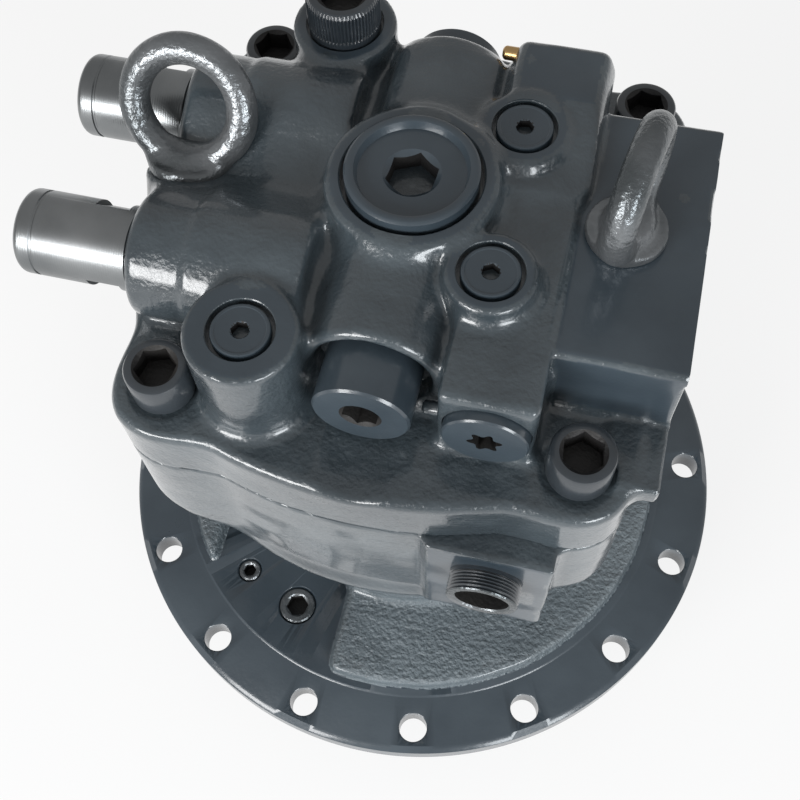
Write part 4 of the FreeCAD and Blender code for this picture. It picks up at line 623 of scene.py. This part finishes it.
dress(casting, "casing", CAST_PAINT)
# The rough step and the body below it get the rough paint, whose lighter shades are painted sheen.
repainted(casting, ROUGH_PAINT_WITH_SHEEN, lambda centre, normal: (centre[2] > LAND + 0.3) & (centre[2] < 60))
repainted(casting, SMOOTH_PAINT, lambda centre, normal: centre[2] <= LAND + 0.3)
repainted(casting, SMOOTH_PAINT, milled([(1, -109, (20, -112, 120), (80, -106, 196))]))

# %% [markdown]
# ## Socket screws and plugs
# Every screw and plug is turned from one profile, and then its socket is cut: a hexagon with the cone that a drill
# leaves as its lead-in. The four clamping screws share a profile, and each stopped at a turn of its own.

# %% Turn the four clamping screws
SCREW = [(0, -70), (7.4, -70), (8, -69.2), (8, 0), (11.7, 0), (12, 0.3), (12, 14.6), (11.5, 15.5), (10.6, 16), (0, 16)]
screws = []
for (ear_x, ear_y), spin in zip(EARS, (0.35, 0.10, 0.62, 0.90)):
    screw = put(turned("screw", SCREW, 72), (ear_x, ear_y, LEDGE))
    screws.append(combine(screw, hex_socket((ear_x, ear_y, LEDGE + 16), (0, 0, 1), 9, 14, 0.5, spin)))
screws = dress(merged("clamping_screws", screws), "main_bolts", SCREW_PAINT)
# The socket of each clamping screw gets the near-black painted shade.
repainted(screws, SOCKET_PAINTED_SHADE, sunk([(ear_x, ear_y, LEDGE + 16) for ear_x, ear_y in EARS], (0, 0, 1), 8.7))

# %% Turn the knurled screw and the centre plug
low, high = corners("knurled_screw")
knurl_at = ((low.x + high.x) / 2, (low.y + high.y) / 2, high.z)
KNURLED = [(0, -42), (9, -42), (9.5, -41.5), (9.5, -19), (14.2, -19), (14.2, -14, 0), (14.4, -13.5, 0.9),
           (14.4, -2.6, 0.9), (14.0, -1.8, 0.2), (13.2, -0.4, 0), (12.6, 0, 0), (0, 0)]
knurled = put(turned("knurled_screw_head", KNURLED, 512, 64), knurl_at)
combine(knurled, hex_socket(knurl_at, (0, 0, 1), 9, 17, 0.6, 0.25))
dress(knurled, "knurled_screw", SCREW_PAINT)
# The knurled screw's socket gets the near-black painted shade.
repainted(knurled, SOCKET_PAINTED_SHADE, sunk([knurl_at], (0, 0, 1), 10.4))
low, high = corners("centre_plug")
top = high.z
CENTRE = [(0, -20), (19.4, -20), (20, -19.4), (20, -11), (24.4, -11), (24.4, -1.0), (23.6, -0.2), (23.2, 0), (21.2, 0),
          (20.8, -0.2), (19.6, -3), (0, -3)]
centre = put(turned("centre_plug_turned", CENTRE, 128), (0, 0, top))
combine(centre, hex_socket((0, 0, top - 3), (0, 0, 1), 8, 17, 0.8, 0.42))
dress(centre, "centre_plug", SMOOTH_PAINT)
# The centre plug's socket gets the near-black painted shade.
repainted(centre, SOCKET_PAINTED_SHADE, sunk([(0, 0, top - 4.5)], (0, 0, 1), 10.6))

# %% Turn the flush plugs
FLUSH = [(0, -13), (10.4, -13), (10.6, -12.8), (10.6, -0.9), (10.3, -0.25), (9.9, 0), (9.2, 0), (8.9, -0.2), (0, -0.2)]
flush, places = [], [(35, 32, 267), (35, -32, 267), (-43.5, -71, 264)]
for plug_at, spin in zip(places, (0.2, 0.5, 0.05)):
    plug = put(turned("plug", FLUSH, 72), plug_at)
    flush.append(combine(plug, hex_socket(plug_at, (0, 0, 1), 6, 6, 0.3, spin)))
flush = dress(merged("flush_socket_plugs", flush), "flush_plugs", SMOOTH_PAINT)
# The flush plugs' sockets get the near-black painted shade.
repainted(flush, SOCKET_PAINTED_SHADE, sunk([Vector(place) - Vector((0, 0, 0.2)) for place in places], (0, 0, 1), 3.9))

# %% Turn the plugs of the cross bore and of the valve bar
BORE = [(0, -39), (12.5, -39), (13, -38.5), (13, -25), (17.4, -25), (17.8, -24.6), (17.8, -0.9), (17.0, 0), (0, 0)]
BAR = [(0, -20), (11.6, -20), (12, -19.6), (12, -8), (15.6, -8), (15.6, -0.7), (15.0, 0), (0, 0)]


def star(outer, inner):
    """The outline of a six-pointed socket with rounded lobes."""
    count = 72
    radii = [inner + (outer - inner) * (0.5 + 0.5 * math.cos(6 * 2 * math.pi * k / count)) ** 1.4 for k in range(count)]
    return [(r * math.cos(2 * math.pi * k / count), r * math.sin(2 * math.pi * k / count)) for k, r in enumerate(radii)]


bore_plugs, bar_plugs = [], []
for side in (-1, 1):
    outwards = (0, side, 0)
    plug = put(turned("plug", BORE, 96), (0, side * 83, 240), outwards)
    bore_plugs.append(combine(plug, hex_socket((0, side * 83, 240), outwards, 9, 12.5, 0.5, 0.3)))
    face = (44, -83 if side < 0 else 79, 239)
    plug = put(turned("plug", BAR, 96), face, outwards)
    bar_plugs.append(combine(plug, [put(prism(star(6.4, 4.3), -6, 5), face, outwards, 0.2)]))
bore_plugs = dress(merged("cross_bore_plugs", bore_plugs), "bore_plugs", SMOOTH_PAINT)
bar_plugs = dress(merged("valve_bar_plugs", bar_plugs), "bar_plugs", SMOOTH_PAINT)
# The sockets of the bore plugs and bar plugs get the near-black painted shade.
for side, face_y in ((-1, -83), (1, 79)):
    repainted(bore_plugs, SOCKET_PAINTED_SHADE, sunk([(0, side * 83, 240)], (0, side, 0), 7.8))
    repainted(bar_plugs, SOCKET_PAINTED_SHADE, sunk([(44, face_y, 239)], (0, side, 0), 7.0))

# %% Turn the pocket's plugs and the small pins
port_plugs = []
for port, radius, flats, way in PORTS:
    face = Vector(port) + Vector((0, 0, 0.3))
    profile = [(0, -11), (radius, -11), (radius, -0.7), (radius - 0.7, 0), (0, 0)]
    port_plugs.append(combine(put(turned("plug", profile, 64), face), hex_socket(face, (0, 0, 1), 7, flats, 0.5, 0.3)))
port_plugs = dress(merged("port_plugs", port_plugs), "casing_plugs", FORGED)
# The pocket plugs' sockets get the near-black painted shade.
for port, radius, flats, way in PORTS:
    repainted(port_plugs, SOCKET_PAINTED_SHADE, sunk([port], (0, 0, 1), flats / math.sqrt(3) + 0.3))
PIN = [(0, -12.5), (2.7, -12.5), (2.7, -1.2), (2.3, -0.5), (1.5, 0), (0, 0)]
pins = [put(turned("pin", PIN, 32), (19.5, pin_y, pin_z), (-1, 0, 0)) for pin_y, pin_z in ((-71, 233), (71, 261))]
pins = dress(merged("side_pins", pins), "small_pins", FINISHES["bronze"])
repainted(pins, CAST_PAINT, lambda centre, normal: centre[1] < 0)

# %% [markdown]
# ## The relief valves' sleeves
# These two are bare turned steel. Their profile has a thread relief at the casting, a groove, and a rounded end;
# a pair of spanner flats is milled near the casting. The lathe tool left fine rings round them, which a wave along
# the axis gives to their own steel.

# %% Turn the sleeves
TURNED_STEEL = metal("turned_steel", (0.20, 0.21, 0.215), (0.30, 0.31, 0.315), 1.0, 0.30, 900, 0.10)
tree = TURNED_STEEL.node_tree
rings = node(tree, "ShaderNodeTexWave", Scale=330, Distortion=0.6)
rings.bands_direction = "X"
seat = tree.nodes.new("ShaderNodeTexCoord")
cut = node(tree, "ShaderNodeBump", Distance=0.00004, Strength=0.6)
wire(tree, (seat.outputs["Object"], rings.inputs["Vector"]), (rings.outputs["Fac"], cut.inputs["Height"]),
     (cut.outputs["Normal"], tree.nodes["Principled BSDF"].inputs["Normal"]))
low, high = corners("relief_sleeves")
SLEEVE_LONG = -95 - low.x
SLEEVE = [(0, -38), (12.6, -38), (13, -37.6), (13, 0), (15.4, 0), (15.4, 2), (16.2, 2.6), (16.2, SLEEVE_LONG - 8.4),
          (15.8, SLEEVE_LONG - 8.0), (15.8, SLEEVE_LONG - 7.4), (16.2, SLEEVE_LONG - 7.0), (16.2, SLEEVE_LONG - 3.2)]
for k in range(1, 7):
    turn = math.pi / 2 * k / 6
    SLEEVE.append((13.2 + 3 * math.cos(turn), SLEEVE_LONG - 3.2 + 3 * math.sin(turn)))
SLEEVE += [(12.8, SLEEVE_LONG), (12.4, SLEEVE_LONG - 0.4), (0, SLEEVE_LONG - 0.4)]
sleeves = []
for side in (-1, 1):
    sleeve = put(turned("sleeve", SLEEVE, 128), (-95, side * 34, 241), (-1, 0, 0))
    flats = []
    for spin in (-1, 1):
        flat = mesh_object("flat", [(px, py, pz) for px in (-114, -101) for py in (-20, 20) for pz in (14.2, 20)],
                           [(0, 1, 3, 2), (4, 6, 7, 5), (0, 4, 5, 1), (2, 3, 7, 6), (0, 2, 6, 4), (1, 5, 7, 3)])
        turn = Matrix.Rotation(math.radians(125 if spin > 0 else -55), 4, "X")
        flat.data.transform(Matrix.Translation(Vector((0, side * 34, 241)) * MM) @ turn)
        flats.append(flat)
    bore = put(turned("bore", [(0, -40), (8, -40), (8, SLEEVE_LONG - 6), (0, SLEEVE_LONG - 6)], 48),
               (-95, side * 34, 241), (-1, 0, 0))
    sleeves.append(combine(sleeve, flats + [bore]))
dress(merged("turned_sleeves", sleeves), "relief_sleeves", TURNED_STEEL)

# %% [markdown]
# ## The drain fitting
# An open adapter stands on the milled pad. Its outside is threaded, and its flat end is bare.

# %% Turn the drain fitting
low, high = corners("drain_fitting")
drain_at = ((low.x + high.x) / 2, low.y, (low.z + high.z) / 2)
drain_out = -109 - low.y
DRAIN = [(0, -drain_out - 14), (13, -drain_out - 14), (13.3, -drain_out - 13.6), (13.3, -drain_out), (14.3, -drain_out),
         (14.3, -drain_out + 1.2), (13.6, -drain_out + 1.5)]
pitch = 1.3
for k in range(5):
    foot = -drain_out + 1.7 + k * pitch
    DRAIN += [(13.5, foot), (14.2, foot + 0.5 * pitch), (13.5, foot + pitch - 0.05)]
DRAIN += [(14.0, -0.5), (13.6, 0), (0, 0)]
fitting = put(turned("drain_adapter", DRAIN, 96), drain_at, (0, -1, 0))
combine(fitting, [drill(drain_at, (0, -1, 0), drain_out + 14.5, 10.5, 0.7)])
dress(fitting, "drain_fitting", SCREW_PAINT)
repainted(fitting, FORGED, lambda centre, normal: (normal[1] < -0.6) & (centre[1] < drain_at[1] + 0.8))
# The inside of the drain's bore gets the near-black painted shade.
repainted(fitting, SOCKET_PAINTED_SHADE, sunk([drain_at], (0, -1, 0), 10.55, 30))

# %% [markdown]
# ## The lifting eyes
# A forged eye is one lump of steel: a ring, a waist and a round foot that flow into each other. That is the same
# melting that the castings needed, on a finer grid. Each eye is modelled upright, then turned and leaned into place.

# %% Model the lifting eyes
def lifting_eye(place, direction, spin):
    """A forged lifting eye on its seat, with its thread."""
    step = 0.7
    low, high = (-30, -18, -3), (30, 18, 56)
    space = grid(low, high, step)
    x, y, z = space
    ring = np.hypot(np.hypot(x, z - 26) - 21, y) - 5.85
    foot = rod(space, (0, 0, 0), (0, 0, 1), 4.6, 14.8, 1.4)
    waist = rod(space, (0, 0, 1), (0, 0, 1), 8, 9, 3)
    form = joined(joined(foot, waist, 4), ring, 5)
    form = form + unevenness(space, 7, 0.15, 3)
    form = np.maximum(form, -z)
    eye = cast("lifting_eye", form, low, step)
    thread = turned("thread", [(0, -20), (5.4, -20), (6, -19.4), (6, 2), (0, 2)], 32)
    combine(eye, [thread], "UNION")
    return put(eye, place, direction, spin)


right_eye = lifting_eye((78, 0, 257), (0, 0, 1), math.radians(80))
left_eye = lifting_eye((-88.5, 1, 247), (0, math.sin(lean), math.cos(lean)), 0)
dress(merged("lifting_eyes", [right_eye, left_eye]), "eye_bolts", FORGED)

# %% [markdown]
# ## Floor and light
# The photograph has a pure white ground. The floor shows that white to the camera, and to reflections, through the
# light path, and keeps part of its own shading, so the motor's shadow stays. The photographer's light came in low
# from the front, like daylight through an open gate: front faces are bright, the flat tops stay dark.

# %% Floor, light and background
floor_z = cad_box[0][2] / MM - 1
reach = 4000
floor = mesh_object("floor", [(-reach, -reach, floor_z), (reach, -reach, floor_z), (reach, reach, floor_z),
                              (-reach, reach, floor_z)], [(0, 1, 2, 3)])
floor_paint = bpy.data.materials.new("floor_white")
floor_paint.use_nodes = True
tree = floor_paint.node_tree
shader = tree.nodes["Principled BSDF"]
shader.inputs["Base Color"].default_value = (0.9, 0.9, 0.9, 1)
shader.inputs["Roughness"].default_value = 0.9
shader.inputs["Specular IOR Level"].default_value = 0.1
glow = node(tree, "ShaderNodeEmission", Strength=1.0)
rays = tree.nodes.new("ShaderNodeLightPath")
seen = node(tree, "ShaderNodeMath", "ADD")
seen.use_clamp = True
seen_more = node(tree, "ShaderNodeMath", "ADD")
seen_more.use_clamp = True
share = node(tree, "ShaderNodeMath", "MULTIPLY")
share.inputs[1].default_value = 0.8
mix = tree.nodes.new("ShaderNodeMixShader")
wire(tree, (rays.outputs["Is Camera Ray"], seen.inputs[0]), (rays.outputs["Is Glossy Ray"], seen.inputs[1]),
     (seen.outputs[0], seen_more.inputs[0]), (rays.outputs["Is Transmission Ray"], seen_more.inputs[1]),
     (seen_more.outputs[0], share.inputs[0]), (share.outputs[0], mix.inputs["Fac"]),
     (shader.outputs["BSDF"], mix.inputs[1]), (glow.outputs["Emission"], mix.inputs[2]),
     (mix.outputs["Shader"], tree.nodes["Material Output"].inputs["Surface"]))
floor.data.materials.append(floor_paint)

world = bpy.data.worlds.new("studio")
bpy.context.scene.world = world
world.use_nodes = True
world.node_tree.nodes["Background"].inputs["Color"].default_value = (1, 1, 1, 1)
world.node_tree.nodes["Background"].inputs["Strength"].default_value = 0.42


def softbox(name, place, target, width, height, power):
    """A rectangular lamp that points at a target."""
    lamp = bpy.data.lights.new(name, "AREA")
    lamp.shape = "RECTANGLE"
    lamp.size, lamp.size_y, lamp.energy = width, height, power
    thing = bpy.data.objects.new(name, lamp)
    turn = (Vector(target) - Vector(place)).to_track_quat("-Z", "Y")
    thing.matrix_world = Matrix.Translation(Vector(place)) @ turn.to_matrix().to_4x4()
    scene_collection.objects.link(thing)
    return thing


softbox("gate", (-0.75, -1.5, 0.75), (0, 0, 0.15), 0.9, 0.6, 24)
side_lamp = softbox("side", (1.15, -1.35, 0.65), (0, 0, 0.12), 0.7, 0.6, 18)
side_lamp.data.color = (0.93, 0.97, 1.0)
bpy.context.scene.view_settings.view_transform = "Standard"
